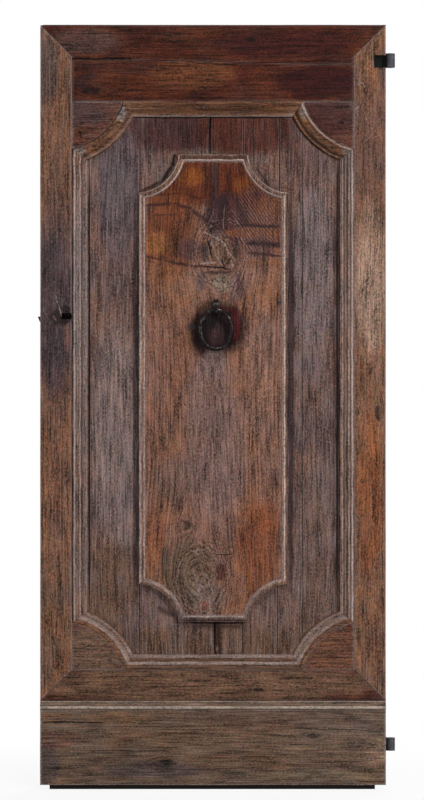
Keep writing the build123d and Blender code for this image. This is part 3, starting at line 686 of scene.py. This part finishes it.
right_dents = [(455, 800, 4, 90, 4), (448, 640, 6, 40, 3), (374, 292, 7, 12, 6), (455, 1900, 6, 60, 4)]
weather(stile_right, 1.4, 15, "z", right_dents)
dress(stile_right, "stile_right", stile_wood)
head_outline = [(-leaf_side, leaf_top), (-stile_edge, mitre_top), (-stile_edge, frieze_left)]
head_outline += [(stile_edge, frieze_right), (stile_edge, mitre_top), (leaf_side, leaf_top)]
top_rail = slab("head_rail", head_outline, 9, 6)
weather(top_rail, 1.5, 15, "x", [(-350, 1910, 60, 5, 3), (-240, 1910, 40, 4, 4), (-100, 2000, 200, 5, 1.5)])
ease_corner(top_rail, -leaf_side, leaf_top, knocked_corner)
dress(top_rail, "top_rail", rail_wood)
frieze_outline = [(-stile_edge, field_top), (stile_edge, field_top), (stile_edge, frieze_right)]
frieze = slab("frieze", frieze_outline + [(-stile_edge, frieze_left)], 9, 6, board=1.0)
weather(frieze, 1.3, 15, "x", [(-300, 1908, 70, 5, 3), (-322, 1826, 14, 8, 2), (-20, 1799, 60, 4, 2)])
dress(frieze, "frieze_rail", rail_wood)
low_outline = [(-leaf_side, kick_top), (leaf_side, kick_top)]
low_outline += [(stile_edge, field_foot), (-stile_edge, field_foot)]
bottom_rail = slab("low_rail", low_outline, 9, 6, board=2.0)
weather(bottom_rail, 1.3, 15, "x", [(373, 293, 10, 10, 5), (120, 224, 60, 5, 2)])
dress(bottom_rail, "bottom_rail", rail_wood)


# The kick board: 28 mm oak across the foot of the leaf, with a nosing moulded on its top edge.
# It takes the knocks and the mop, so it is grey, split along the grain and ragged at its ends.
kick_wood = old_wood(
    "kick board wood",
    "x",
    dark=(44, 26, 19),
    body=(100, 60, 42),
    warm=(125, 74, 47),
    dust_and_highlight=(170, 140, 120),
    dusty=0.45,
    patches=[
        (-420, 178, 60, 16, (165, 75, 36), 0.7), (-280, 176, 110, 14, (140, 70, 36), 0.6),
        (-400, 120, 90, 26, (120, 52, 36), 0.7), (-440, 60, 40, 50, (50, 34, 36), 0.7),
        (-180, 120, 150, 30, (120, 62, 32), 0.6), (-150, 40, 160, 26, (50, 36, 38), 0.7),
        (60, 60, 150, 30, (120, 62, 34), 0.5), (140, 150, 120, 26, (110, 46, 30), 0.5),
        (400, 120, 50, 70, (85, 58, 52), 0.6), (240, 24, 200, 16, (170, 118, 70), 0.6),
        (100, 120, 160, 50, (135, 80, 50), 0.6), (300, 105, 150, 60, (145, 90, 62), 0.6),
        (430, 90, 30, 40, (230, 140, 90), 0.5),
    ],
    knots=[(-120, 60, 8, 3.0), (265, 130, 7, 3.0)],
    cracks=[
        (-452, 166, -280, 164, 1.5, 2), (-100, 40, 160, 46, 0.6, 2), (200, 150, 420, 144, 0.6, 2),
        (-300, 92, -130, 88, 0.5, 2),
    ],
)
(_, kick_face, _), (_, _, kick_height) = extent("kick_board")
kick_outline = [(-leaf_side, 0), (leaf_side, 0), (leaf_side, kick_height), (-leaf_side, kick_height)]
kick = slab("kick", kick_outline, 9, 7, kick_face, wear=2.2, board=3.0)
kick_dents = [
    (432, 105, 20, 15, 2.5), (-455, 166, 12, 5, 4), (-400, 165, 60, 3, 2), (300, 0, 80, 6, 3),
    (-200, 0, 120, 6, 3),
]
weather(kick, 1.3, 15, "x", kick_dents)
dress(kick, "kick_board", kick_wood)
nosing_wood = old_wood(
    "nosing wood",
    "x",
    dark=(50, 30, 22),
    body=(115, 72, 50),
    warm=(140, 85, 55),
    dust_and_highlight=(300, 245, 205),
    dusty=0.3,
    pale=1.1,
)


def round_turn(start, end, swell, steps):
    """Points on an arc from start to end that swells out to its left by swell, ends left out."""
    run, rise = end[0] - start[0], end[1] - start[1]
    length = hypot(run, rise)
    radius = (length * length / 4 + swell * swell) / (2 * swell)
    half = atan2(length / 2, radius - swell)
    normal = (-rise / length, run / length)
    middle = ((start[0] + end[0]) / 2, (start[1] + end[1]) / 2)
    centre = (middle[0] - normal[0] * (radius - swell), middle[1] - normal[1] * (radius - swell))
    first = atan2(start[1] - centre[1], start[0] - centre[0])
    angles = [first - 2 * half * i / steps for i in range(1, steps)]
    return [(centre[0] + radius * cos(angle), centre[1] + radius * sin(angle)) for angle in angles]


bead_foot, bead_top, cove_top = (kick_face, kick_height), (-33, 208), (-25, 218)
# The third number of each point paints its wear. The bead and the top fillet are painted pale, partly for
# wear and partly as painted highlight where they face up into the lamps, and the cove between them stays
# dark.
nosing = [(*bead_foot, 0.4)]
nosing += [(y, z, 1.0) for y, z in round_turn(bead_foot, bead_top, 3.4, 7)]
nosing += [(*bead_top, 0.9)]
nosing += [(y, z, 0.1) for y, z in reversed(round_turn(cove_top, bead_top, 1.6, 6))]
nosing += [(*cove_top, 0.1), (-25, 219, 0.6), (-25, 220, 1.0), (-24.2, kick_top, 1.0), (-20, kick_top, 0.0)]
nosing += [(plank_front, kick_top, 0.0), (plank_front, kick_height, 0.0), (-20, kick_height, 0.0)]
rings = [[(x, y, z) for y, z, worn in nosing] for x in spread(-leaf_side, leaf_side, 7)]
kick_nosing = lofted("kick_nosing", rings, [worn for y, z, worn in nosing], 4.0)
nosing_dents = [(124, 202, 22, 8, 4), (-260, 212, 14, 6, 2), (330, 206, 12, 5, 2)]
weather(kick_nosing, 1.0, 22, "x", nosing_dents, plank_front - 1)
dress(kick_nosing, "kick_moulding", nosing_wood)


# The frame moulding: one worked section, run straight and round the hollow corners, mitred where
# straight meets round and bradded inside the frame. Its beads are painted pale, partly for polish from
# dusting and partly as painted highlight where they face the lamps, and its quirks and the faces that
# turn from the lamps are painted dark, partly for dirt and partly as painted shade.
def corner_centre(edge, side, end):
    x = edge["middle"] + side * (edge["half"] + edge["out_x"])
    return x, edge["high"] + edge["out_z"] if end > 0 else edge["low"] - edge["out_z"]


def side_mitre(edge, side, end, inset):
    centre_x, centre_z = corner_centre(edge, side, end)
    x = edge["middle"] + side * (edge["half"] - inset)
    return x, centre_z - end * sqrt((edge["radius"] + inset) ** 2 - (x - centre_x) ** 2)


def end_mitre(edge, side, end, inset):
    centre_x, centre_z = corner_centre(edge, side, end)
    z = edge["high"] - inset if end > 0 else edge["low"] + inset
    return centre_x - side * sqrt((edge["radius"] + inset) ** 2 - (z - centre_z) ** 2), z


def corner_point(edge, side, end, inset, t):
    """A point on a hollow corner at an inset, from its side mitre at 0 to its end mitre at 1."""
    centre_x, centre_z = corner_centre(edge, side, end)
    from_x, from_z = side_mitre(edge, side, end, inset)
    to_x, to_z = end_mitre(edge, side, end, inset)
    first = atan2(from_z - centre_z, from_x - centre_x)
    turn = atan2(to_z - centre_z, to_x - centre_x) - first
    turn = (turn + pi) % (2 * pi) - pi
    reach = edge["radius"] + inset
    return centre_x + reach * cos(first + turn * t), centre_z + reach * sin(first + turn * t)


def between(marks, inset):
    """The wear and painted light at an inset, from the insets and values listed on either side of it."""
    for (low, first), (high, last) in zip(marks, marks[1:]):
        if inset <= high:
            return first + (last - first) * (inset - low) / (high - low)
    return marks[-1][1]


def run_round(prefix, edge, section, finish_of, wear_and_light, dents=(), depth=0.9):
    """The eight mitred lengths round an outline, from a section of inset and height over the planks.
    The table wear_and_light lists for each length, by inset, how pale its face is painted, for wear and
    painted highlight, or below 0 how dark, for dirt and painted shade."""

    def run(name, start, end, length, board):
        count = max(3, round(length / 6))
        marks = next(marks for part, marks in wear_and_light.items() if part in name)
        rings, wear = [], []
        for i in range(count + 1):
            stray = 1.6 * noise.noise(Vector((board * 9.0, i * 0.13, 0.0)))
            stray += 0.8 * noise.noise(Vector((board, i * 0.5, 4.0)))
            rings.append([start(inset, over, i / count) for inset, over in section])
            wear += [between(marks, inset + stray) if over else 0.0 for inset, over in section]
        piece = lofted(name.replace(prefix, f"{prefix}_worn"), rings, wear, board)
        weather(piece, depth, 24, end, dents, plank_front - 1)
        dress(piece, name, finish_of(name))

    for side_name, side in (("left", -1), ("right", 1)):
        def upright(inset, over, t):
            x, low = side_mitre(edge, side, -1, inset)
            high = side_mitre(edge, side, 1, inset)[1]
            return x, plank_front - over, low + (high - low) * t

        run(f"{prefix}_{side_name}", upright, "z", edge["high"] - edge["low"], 5.0 + side)
    for end_name, end in (("bottom", -1), ("top", 1)):
        def level(inset, over, t):
            left, z = end_mitre(edge, -1, end, inset)
            right = end_mitre(edge, 1, end, inset)[0]
            return left + (right - left) * t, plank_front - over, z

        run(f"{prefix}_{end_name}", level, "x", 2 * edge["half"] - edge["radius"], 8.0 + end)
        for side_name, side in (("left", -1), ("right", 1)):
            def curve(inset, over, t):
                x, z = corner_point(edge, side, end, inset, t)
                return x, plank_front - over, z

            run(f"{prefix}_curve_{end_name}_{side_name}", curve, "x", edge["radius"], 11.0 + 2 * end + side)


opening = {
    "middle": 0, "half": stile_edge, "low": field_foot, "high": field_top,
    "radius": 180, "out_x": 38, "out_z": 52,
}
moulding_section = [(0, 20), (1.5, 20), *round_turn((1.5, 20), (10, 20), 1.8, 6), (10, 20)]
moulding_section += [(10.8, 17.5), (12.8, 17.0), *round_turn((12.8, 17.0), (25, 9), 2.6, 7), (25, 9)]
moulding_section += [(25.4, 7.5), (28, 7), *round_turn((28, 7), (39, 3), 3.4, 7), (39, 3), (40, 3)]
moulding_section += [(40, 0), (20, 0), (0, 0)]
upright_moulding = old_wood(
    "upright moulding wood",
    "z",
    dark=(50, 28, 23),
    body=(120, 78, 66),
    warm=(140, 72, 48),
    dust_and_highlight=(260, 205, 190),
    dusty=0.4,
    pale=1.15,
    patches=[(350, 900, 40, 700, (200, 115, 85), 0.8), (-352, 1300, 30, 300, (130, 100, 100), 0.5)],
)
level_moulding = old_wood(
    "level moulding wood",
    "x",
    dark=(45, 22, 14),
    body=(120, 52, 30),
    warm=(165, 72, 34),
    dust_and_highlight=(215, 170, 155),
    dusty=0.45,
    patches=[
        (0, 320, 250, 40, (110, 58, 38), 0.9), (0, 1780, 250, 30, (105, 44, 22), 0.9),
        (-242, 1768, 14, 24, (230, 190, 170), 0.8), (-350, 1668, 16, 12, (200, 165, 150), 0.8),
        (240, 1772, 12, 20, (200, 160, 140), 0.7), (352, 1668, 14, 12, (190, 150, 130), 0.7),
        (-356, 388, 20, 14, (240, 200, 180), 0.7), (356, 388, 20, 14, (220, 170, 140), 0.7),
    ],
)
run_round(
    "moulding",
    opening,
    moulding_section,
    lambda name: upright_moulding if name in ("moulding_left", "moulding_right") else level_moulding,
    {
        # Pale values paint worn beads, and painted highlight where they face the lamps. The lower curves and
        # the bottom run face up, and the left run's inner bead faces the right lamp. Values below 0 paint
        # dirt in the quirks, and painted shade where faces turn away, as on the upper right curve and at the
        # right run's foot.
        "curve_top_left": [
            (0, -0.8), (2, -0.5), (4, 0.1), (10, 0.1), (12, -0.6), (14, 0.1), (24, 0.1), (26, -0.6),
            (29, 0.2), (33, 0.5), (37, 0.35), (40, -0.3),
        ],
        "curve_top_right": [
            (0, -0.4), (1.5, 0.5), (3, 1.0), (5, 0.6), (7, 0.0), (12, -0.2), (16, -0.5), (20, 0.0),
            (24, 0.1), (27, -0.95), (31, -0.7), (34, 0.0), (36, 0.2), (38, -0.9), (40, -1.0),
        ],
        "curve_bottom": [
            (0, 0.6), (1.5, 0.2), (4, 0.0), (10, -0.2), (13, 0.3), (16, 0.9), (20, 0.7), (24, 0.9),
            (27, 0.3), (31, 0.9), (36, 0.7), (39, 0.2), (40, -0.3),
        ],
        "left": [
            (0, -0.9), (2, -0.5), (5, 0.5), (7, 0.9), (9.5, 0.5), (12, -0.5), (14.6, 0.8), (17.3, -0.6),
            (20, 0.4), (22.5, 1.0), (25, -0.5), (28, -0.3), (31, 0.7), (34, -0.1), (36, 0.6), (38, 0.4),
            (40, 0.8),
        ],
        "right": [
            (0, -0.5), (1.5, 0.3), (3.5, 1.0), (6, 0.8), (8.5, -0.1), (11, 0.5), (14, 0.9), (17, -0.9),
            (19.9, -0.3), (22.5, 0.9), (25, 0.3), (27.8, -0.3), (30.4, 1.0), (33, -0.6), (35.7, 0.6),
            (38.3, -0.9), (40, -1.0),
        ],
        "top": [(0, 0.35), (1.5, 0.1), (32, 0.0), (34, -0.1), (36, 0.8), (39, 0.8), (40, 0.4)],
        "bottom": [
            (0, 0.5), (1.5, 0.2), (3.3, -0.2), (11, -0.1), (13.9, 0.5), (16.5, 1.0), (19.1, 0.85),
            (21.8, 0.4), (24.4, 0.0), (27, -0.4), (29.7, 0.6), (32.3, 0.8), (34.9, 0.6), (37.6, 0.75),
            (40, 0.7),
        ],
    },
    [(-352, 880, 30, 12, 2), (352, 1270, 12, 14, 3), (350, 576, 9, 9, 4), (180, 1783, 25, 9, 2)],
)


# The spandrels: a block of oak in each corner of the frame, flush with it and sawn to the round.
# The upper two have gone nearly black, and the lower two are scuffed to a dusty brown.
spandrel_wood = old_wood(
    "spandrel wood",
    "x",
    dark=(28, 12, 10),
    body=(68, 26, 19),
    warm=(95, 30, 15),
    dust_and_highlight=(140, 110, 104),
    dusty=0.45,
    patches=[
        (-330, 1770, 60, 40, (45, 24, 27), 0.6), (300, 1760, 90, 70, (46, 14, 12), 0.9),
        (-320, 350, 90, 70, (125, 72, 48), 0.9), (320, 350, 90, 70, (130, 54, 30), 0.9),
    ],
    knots=[(337, 1743, 6, 1.6), (-350, 1715, 5, 1.4)],
    cracks=[(-352, 1722, -346, 1700, 1.2, 2)],
)
for end_name, end in (("bottom", -1), ("top", 1)):
    for side_name, side in (("left", -1), ("right", 1)):
        outline = [(side * stile_edge, field_top if end > 0 else field_foot)]
        outline += [corner_point(opening, side, end, 0, i / 24) for i in range(25)]
        number = 20.0 + 2 * end + side
        block = slab(f"corner_block_{end_name}_{side_name}", outline, 7, 6, wear=1.0, board=number)
        weather(block, 1.2, 20, "x")
        dress(block, f"spandrel_{end_name}_{side_name}", spandrel_wood)


# The raised panel: one wide oak board, 18 mm thick, with a great knot turning through its upper
# half and a wild, half-decayed one at its foot, held by a beaded strip bradded round its edge.
# Hands and oil have left it redder than the rest, and nearly black round the ring, and the shadow that the
# ring and its staple cast inside the ring is painted on too.
panel_foot, panel_top = extent("panel_strip_bottom")[0][2], extent("panel_strip_top")[1][2]
panel = {
    "middle": 1, "half": 196, "low": panel_foot, "high": panel_top,
    "radius": 114, "out_x": 8, "out_z": 14,
}
strip_width = 16
strip_section = [(0, 17), (0.6, 17.4), (2, 17), *round_turn((2, 17), (12.5, 18.6), 3.0, 8)]
strip_section += [(12.5, 18.6), (13.4, 19.5), (15.2, 19.5), (strip_width, 19), (strip_width, 0)]
strip_section += [(strip_width / 2, 0), (0, 0)]
strip_wood = old_wood(
    "strip wood",
    "z",
    dark=(50, 26, 20),
    body=(125, 66, 50),
    warm=(170, 80, 48),
    dust_and_highlight=(330, 265, 240),
    dusty=0.3,
    pale=1.25,
    patches=[(1, 445, 120, 25, (75, 46, 40), 0.8), (1, 1652, 110, 14, (85, 38, 24), 0.9)],
)
run_round(
    "panel_strip",
    panel,
    strip_section,
    lambda name: strip_wood,
    # As on the frame moulding, pale values paint worn beads and painted highlight, and values below 0 paint
    # dirt and painted shade, as in the dark line along the strip's foot.
    {
        "curve_top": [
            (0, 0.6), (1.5, 0.8), (3.5, 0.0), (8, 0.2), (10.5, -0.3), (12.5, 0.6), (15, 1.0), (16, 0.5),
        ],
        "curve_bottom": [(0, 0.3), (3, 0.2), (8, 0.3), (12, 0.5), (16, 0.6)],
        "left": [
            (0, 0.0), (1.7, 0.7), (3.5, 1.0), (5, 1.0), (7.5, 0.2), (10, -0.2), (12, 0.4), (14.8, 1.0),
            (16, 0.5),
        ],
        "right": [
            (0, -0.4), (3.7, -0.2), (6.3, 0.2), (8, 1.0), (10, 1.0), (11.6, 0.5), (12.6, 0.0), (14, 0.8),
            (16, 0.3),
        ],
        "top": [(0, 0.8), (1, 0.7), (2, -0.2), (10, -0.3), (12.5, 0.5), (14.2, 1.0), (16, 0.7)],
        "bottom": [(0, 0.2), (3, -0.5), (6, -0.5), (8, 0.0), (11.5, 0.3), (14, 0.9), (16, 1.0)],
    },
    [(-70, 437, 28, 12, 7), (-30, 430, 16, 9, 3), (60, 430, 40, 5, 3), (-193, 1020, 6, 30, 3)],
    0.7,
)
panel_wood = old_wood(
    "panel wood",
    "z",
    dark=(50, 20, 16),
    body=(160, 78, 56),
    warm=(195, 84, 46),
    dust_and_highlight=(185, 135, 125),
    dusty=0.42,
    patches=[
        (0, 1590, 200, 80, (78, 15, 4), 0.95), (-60, 1598, 44, 30, (150, 42, 6), 0.8),
        (84, 1580, 30, 26, (140, 42, 10), 0.7), (4, 1590, 14, 60, (30, 14, 14), 0.8),
        (-110, 1450, 90, 120, (120, 36, 14), 0.9), (-146, 1424, 40, 34, (190, 72, 24), 0.8),
        (-130, 1350, 70, 40, (180, 72, 36), 0.7), (-60, 1410, 40, 34, (60, 30, 34), 0.7),
        (30, 1490, 60, 70, (30, 15, 17), 0.85), (110, 1470, 80, 100, (70, 22, 18), 0.7),
        (146, 1520, 40, 26, (130, 40, 12), 0.7), (110, 1452, 80, 14, (150, 48, 18), 0.7),
        (130, 1375, 60, 12, (160, 60, 24), 0.6), (20, 1400, 36, 52, (120, 62, 40), 0.85),
        (-22, 1400, 10, 30, (22, 13, 13), 0.85), (60, 1410, 9, 30, (24, 13, 14), 0.8),
        (18, 1322, 32, 30, (150, 108, 76), 0.85), (-30, 1326, 18, 34, (60, 42, 46), 0.7),
        (62, 1310, 22, 46, (95, 60, 60), 0.6), (8, 1200, 80, 82, (7, 1, 2), 1.0),
        (60, 1214, 16, 46, (48, 6, 6), 0.9), (30, 1252, 34, 9, (42, 6, 6), 0.8),
        # (-4, 1218) and (-20, 1182) are painted shadow: the shade that the ring and its staple cast on the
        # panel, inside the ring's upper left and down its left side.
        (12, 1184, 22, 40, (40, 18, 20), 0.8), (-4, 1218, 13, 22, (3, 2, 2), 1.0),
        (-20, 1182, 6, 26, (4, 2, 2), 0.95), (-58, 1206, 12, 12, (30, 24, 28), 0.7),
        (-44, 1272, 10, 8, (170, 120, 90), 0.7), (5, 1112, 34, 40, (170, 118, 116), 0.6),
        (-120, 1100, 60, 160, (170, 74, 48), 0.5), (0, 900, 90, 240, (150, 98, 92), 0.6),
        (130, 1060, 50, 200, (190, 110, 86), 0.5), (-100, 800, 60, 60, (110, 70, 60), 0.5),
        (-150, 640, 30, 90, (165, 56, 26), 0.6), (-124, 590, 16, 50, (50, 28, 24), 0.8),
        (-60, 560, 80, 110, (115, 70, 46), 0.9), (120, 620, 60, 130, (160, 46, 16), 0.8),
        (20, 560, 16, 28, (60, 16, 10), 0.9), (-20, 490, 60, 44, (125, 80, 64), 0.8),
        (-24, 470, 14, 14, (170, 62, 38), 0.8),
    ],
    knots=[(-70, 683, 11, 1.3)],
    whorls=[(22, 1396, 38, 1.3), (-32, 545, 34, 1.3)],
    combed=[(112, 1475, 66, 110)],
    stains=[
        (-182, 1524, -104, 1530, 6, 3, (24, 10, 12), 0.9),
        (-106, 1530, -56, 1514, 6, 3, (22, 10, 12), 0.9),
        (-58, 1515, -12, 1480, 7, 3, (20, 10, 12), 0.9),
        (-170, 1552, -80, 1556, 3, 2, (30, 12, 12), 0.8),
        (-82, 1556, -24, 1542, 3, 2, (30, 12, 12), 0.8),
        (-165, 1498, -95, 1500, 3, 3, (30, 12, 12), 0.7),
        (-168, 1530, -168, 1480, 7, 3, (26, 11, 12), 0.7),
        (-182, 1392, -128, 1380, 4, 3, (30, 12, 12), 0.8),
        (-130, 1381, -62, 1366, 6, 3, (24, 10, 11), 0.9), (-64, 1366, 0, 1364, 4, 3, (20, 9, 10), 0.9),
        (60, 1474, 188, 1466, 6, 4, (20, 10, 12), 0.9), (84, 1426, 188, 1420, 9, 4, (20, 10, 13), 0.95),
        (90, 1400, 188, 1390, 5, 3, (26, 11, 13), 0.9), (24, 1560, 16, 1480, 12, 6, (24, 12, 14), 0.7),
        (60, 1530, 92, 1470, 12, 5, (26, 12, 14), 0.7), (-30, 1345, 60, 1352, 7, 4, (24, 12, 13), 0.8),
        (70, 1355, 62, 1290, 5, 4, (40, 20, 20), 0.7),
    ],
    cracks=[
        (10, 606, 50, 606, 1.2, 2), (-14, 1436, -4, 1386, 2.0, 3), (24, 1384, 30, 1356, 1.6, 3),
        (-25, 1364, 50, 1358, 1.8, 3),
    ],
    scratches=[
        (-26, 1456, 6, 1440, 1.8, 3), (6, 1442, 29, 1427, 3.0, 4), (28, 1428, 40, 1404, 2.4, 3),
        (38, 1406, 60, 1376, 2.4, 4), (-6, 1440, 8, 1396, 2.0, 4), (7, 1398, 24, 1364, 1.8, 4),
        (-34, 1373, 8, 1374, 2.6, 2), (46, 1380, 54, 1362, 2.4, 3), (31, 1530, 26, 1455, 0.9, 2),
        (8, 1332, 34, 1314, 2.2, 5), (-60, 620, -30, 600, 1.4, 3), (-50, 560, -34, 500, 2.0, 4),
        (-20, 560, 0, 500, 2.0, 4), (-34, 500, -30, 440, 2.4, 4), (-10, 500, -4, 440, 2.0, 4),
        (-44, 532, -20, 520, 2.4, 4),
    ],
)
outline = []
for side, end in ((-1, -1), (1, -1), (1, 1), (-1, 1)):
    arc = [corner_point(panel, side, end, strip_width, i / 20) for i in range(21)]
    outline += arc if side * end > 0 else arc[::-1]
panel_face = extent("raised_panel")[0][1]
panel_board = slab("panel_board", outline, 5, 7, panel_face, wear=0.8, board=30.0)
panel_dents = [
    (10, 1385, 26, 36, 2.5), (-12, 1404, 30, 8, 2), (14, 1338, 26, 18, 1.5), (-70, 683, 12, 15, 3),
    (-28, 505, 30, 26, 3), (-5, 475, 22, 30, 3), (-50, 450, 34, 14, 3), (20, 560, 14, 22, 2),
    (-45, 570, 40, 30, 1.2),
]
weather(panel_board, 1.0, 13, "z", panel_dents)
dress(panel_board, "raised_panel", panel_wood)


# The ironwork: every piece is wrought iron, drawn and punched by hand, and now a dull brown-black
# with rust in its pits and a little bare metal where hands have kept it rubbed.
def wrought_iron(name, skin, rust, bare, rusty, rub, smooth=0.6, metallic=0.45, notch_shaded=False):
    """Forged iron, its colours in thousandths. Rusty is how much of it is rusted, and rub how much is worn
    bare.
    Notch-shaded iron is painted black where it lies in the notch cut for it in the leaf's edge: painted shade
    in that recess."""
    iron = Finish(name)
    place = iron.node("ShaderNodeTexCoord", out="Object")
    blotch = iron.noise(place, 60.0, 4.0, 0.65)
    pit = iron.noise(place, 420.0, 4.0, 0.7)
    scale = iron.noise(place, 150.0, 3.0, 0.6, 0.6)
    rusted = (blotch * 0.6 + pit * 0.4).rise(0.62 - rusty * 0.3, 0.78 - rusty * 0.3)
    colour = iron.mix(rusted, tinted(skin), tinted(rust))
    colour = iron.mix((0.46 - pit).rise(0.0, 0.16) * 0.8, colour, tinted(skin, 0.3))
    worn = scale.rise(0.52, 0.7) * rub
    # Painted shade: inside the notch the iron is painted black, as the recess lies in shade.
    if notch_shaded:
        x, y, _ = place.parts()
        notch_shade = x.fall(0.453, 0.462) * y.fall(0.0232, 0.026)
        worn = worn * (1.0 - notch_shade)
        colour = iron.mix(notch_shade, colour, tinted((4, 4, 5)))
    colour = iron.mix(worn, colour, tinted(bare))
    rough = smooth - worn * 0.3 * smooth + pit * 0.1
    metal = metallic + worn * (0.95 - metallic)
    return iron.surface(colour, rough, pit * 0.5 + scale * 0.8, 0.0006, 0.8, Metallic=metal)


def forged(name, node, cell, depth, material, body="leaf"):
    """The smith's form of a plain solid: the same shape with soft arrises and hammered faces."""
    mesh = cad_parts[node].data.copy()
    piece = added(name, mesh)
    remesh = piece.modifiers.new("even", "REMESH")
    remesh.mode, remesh.voxel_size = "VOXEL", cell * mm
    soften = piece.modifiers.new("soft", "SMOOTH")
    soften.factor, soften.iterations = 0.5, 3
    shaped = bpy.data.meshes.new_from_object(piece.evaluated_get(bpy.context.evaluated_depsgraph_get()))
    piece.modifiers.clear()
    piece.data = shaped
    bpy.data.meshes.remove(mesh)
    facings = [vertex.normal.copy() for vertex in shaped.vertices]
    for vertex, facing in zip(shaped.vertices, facings):
        at = vertex.co.copy()
        dimple = abs(noise.noise(at * 95)) * 0.7 + abs(noise.noise(at * 260)) * 0.3
        vertex.co = at - facing * (depth * mm * dimple)
    shaped.update()
    shaped.shade_smooth()
    dress(piece, node, material, body)


# The two strap hinges: a flat iron strap across the back with its end rolled into an open eye,
# which drops on a pintle in the jamb. The strap tapers to a rounded tail and is held by four nails.
hinge_iron = wrought_iron("hinge iron", (50, 52, 60), (75, 36, 22), (220, 210, 210), 0.35, 0.35, notch_shaded=True)
forged("upper_strap", "hinge_strap_upper", 1.1, 0.7, hinge_iron)
forged("lower_strap", "hinge_strap_lower", 1.1, 0.7, hinge_iron)
nail_iron = wrought_iron("nail iron", (40, 34, 34), (90, 36, 20), (300, 250, 220), 0.6, 0.5)
for node in ("hinge_nails_upper", "hinge_nails_lower", "frame_nails"):
    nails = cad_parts[node]
    nails.data.materials.clear()
    nails.data.materials.append(nail_iron)


# The latch: a flat bar on the back, pivoted on a riveted pin, which falls into its keep in the jamb.
# It is lifted through the finger hole in the left stile and runs in a staple driven over it.
latch_iron = wrought_iron("latch iron", (36, 32, 34), (75, 32, 20), (260, 230, 210), 0.45, 0.6)
forged("fall_bar", "latch_bar", 0.9, 0.5, latch_iron, "latch")
forged("fall_bar_rivet", "latch_rivet", 0.9, 0.4, latch_iron)
forged("fall_bar_staple", "latch_guide", 0.9, 0.5, latch_iron)


# The ring pull: a round iron rod bent to an oval and scarfed shut, hanging in the eye of a strap
# staple whose legs go through the leaf and are clenched behind. The ring's front is rubbed bright.
ring_iron = wrought_iron("ring iron", (12, 9, 9), (30, 10, 8), (340, 300, 280), 0.25, 0.3, 0.22, 0.85)
forged("ring_eye", "ring_staple", 1.1, 0.6, ring_iron)
forged("pull_ring", "ring_pull", 1.1, 0.35, ring_iron, "ring")


# The studio: a pale floor under the leaf, which fades into the white beyond it, and a low black strip under
# the leaf that paints the shadow in the gap beneath it.
# A broad lamp at the right gives the mouldings their shadows, and a weaker one fills from the left.
def studio_piece(name, corners, faces, finish):
    mesh = bpy.data.meshes.new(name)
    mesh.from_pydata(corners, [], faces)
    mesh.materials.append(finish.material)
    return added(name, mesh)


floor_finish = Finish("studio floor")
far_x, far_y, _ = floor_finish.node("ShaderNodeTexCoord", out="Object").parts()
far = (far_x * far_x + far_y * far_y).math("SQRT").rise(0.3, 2.0) * 0.12 + 0.88
matt = floor_finish.node("ShaderNodeBsdfDiffuse", {}, {"Color": (0.93, 0.93, 0.93)})
white = floor_finish.node("ShaderNodeEmission", {}, {"Color": (1.0, 1.0, 1.0), "Strength": 1.0})
camera_ray = floor_finish.node("ShaderNodeLightPath", out="Is Camera Ray")
floor_finish.show(floor_finish.node("ShaderNodeMixShader", {}, [far * camera_ray, matt, white]))
floor_level = -0.011
floor_corners = [(x, y, floor_level) for x, y in ((-30, -30), (30, -30), (30, 30), (-30, 30))]
floor = studio_piece("studio_floor", floor_corners, [(0, 1, 2, 3)], floor_finish)
# Painted shadow: the black strip under the leaf stands in for the shade in the gap below it.
shadow_strip_finish = Finish("studio shadow strip")
shadow_strip_finish.show(shadow_strip_finish.node("ShaderNodeBsdfDiffuse", {}, {"Color": (0.02, 0.018, 0.017)}))
shadow_strip_plan = ((-0.43, -0.02), (0.426, -0.02), (0.426, 0.016), (-0.43, 0.016))
shadow_strip_corners = [(x, y, z) for z in (floor_level, -0.0002) for x, y in shadow_strip_plan]
shadow_strip_sides = [(0, 1, 5, 4), (1, 2, 6, 5), (2, 3, 7, 6), (3, 0, 4, 7), (4, 5, 6, 7)]
shadow_strip = studio_piece("studio_shadow_strip", shadow_strip_corners, shadow_strip_sides, shadow_strip_finish)


leaf_middle = Vector((0.0, 0.0, 1.0))


def lamp(name, place, size, watts):
    """A broad soft lamp that faces the middle of the leaf."""
    light = bpy.data.lights.new(name, "AREA")
    light.shape, light.size, light.size_y, light.energy = "RECTANGLE", size[0], size[1], watts
    holder = added(name, light)
    holder.location = place
    holder.rotation_euler = (leaf_middle - Vector(place)).to_track_quat("-Z", "Y").to_euler()


lamp("right_lamp", (4.2, -4.8, 2.4), (0.8, 1.6), 165)
lamp("high_lamp", (0.9, -5.0, 7.0), (1.4, 1.0), 215)
lamp("left_lamp", (-5.0, -4.5, 1.6), (2.0, 2.4), 40)
lamp("back_lamp", (1.5, 5.5, 4.5), (2.4, 2.4), 260)
world = bpy.data.worlds.new("studio")
bpy.context.scene.world = world
air = Finish("studio air", world)
seen = air.node("ShaderNodeLightPath", out="Is Camera Ray")
for kind in ("Glossy", "Transmission"):
    seen = seen.most(air.node("ShaderNodeLightPath", out=f"Is {kind} Ray"))
level = 0.16 + seen * 0.84
sky = air.node("ShaderNodeBackground", {}, {"Color": (1.0, 1.0, 1.0), "Strength": level})
air.show(sky, "ShaderNodeOutputWorld")

# The camera stands 12 m off, square to the leaf, and takes in a little more than its height.
distance, film, seen_height = 12.0, 36.0, 2.104
camera_data = bpy.data.cameras.new("camera")
camera_data.sensor_width = film
camera_data.lens = film * distance / seen_height
camera = added("camera", camera_data)
camera.location = (-0.0026, frame_face * mm - distance, 1.0126)
camera.rotation_euler = (radians(90), 0, 0)
bpy.context.scene.camera = camera
bpy.context.scene.view_settings.view_transform = "Standard"
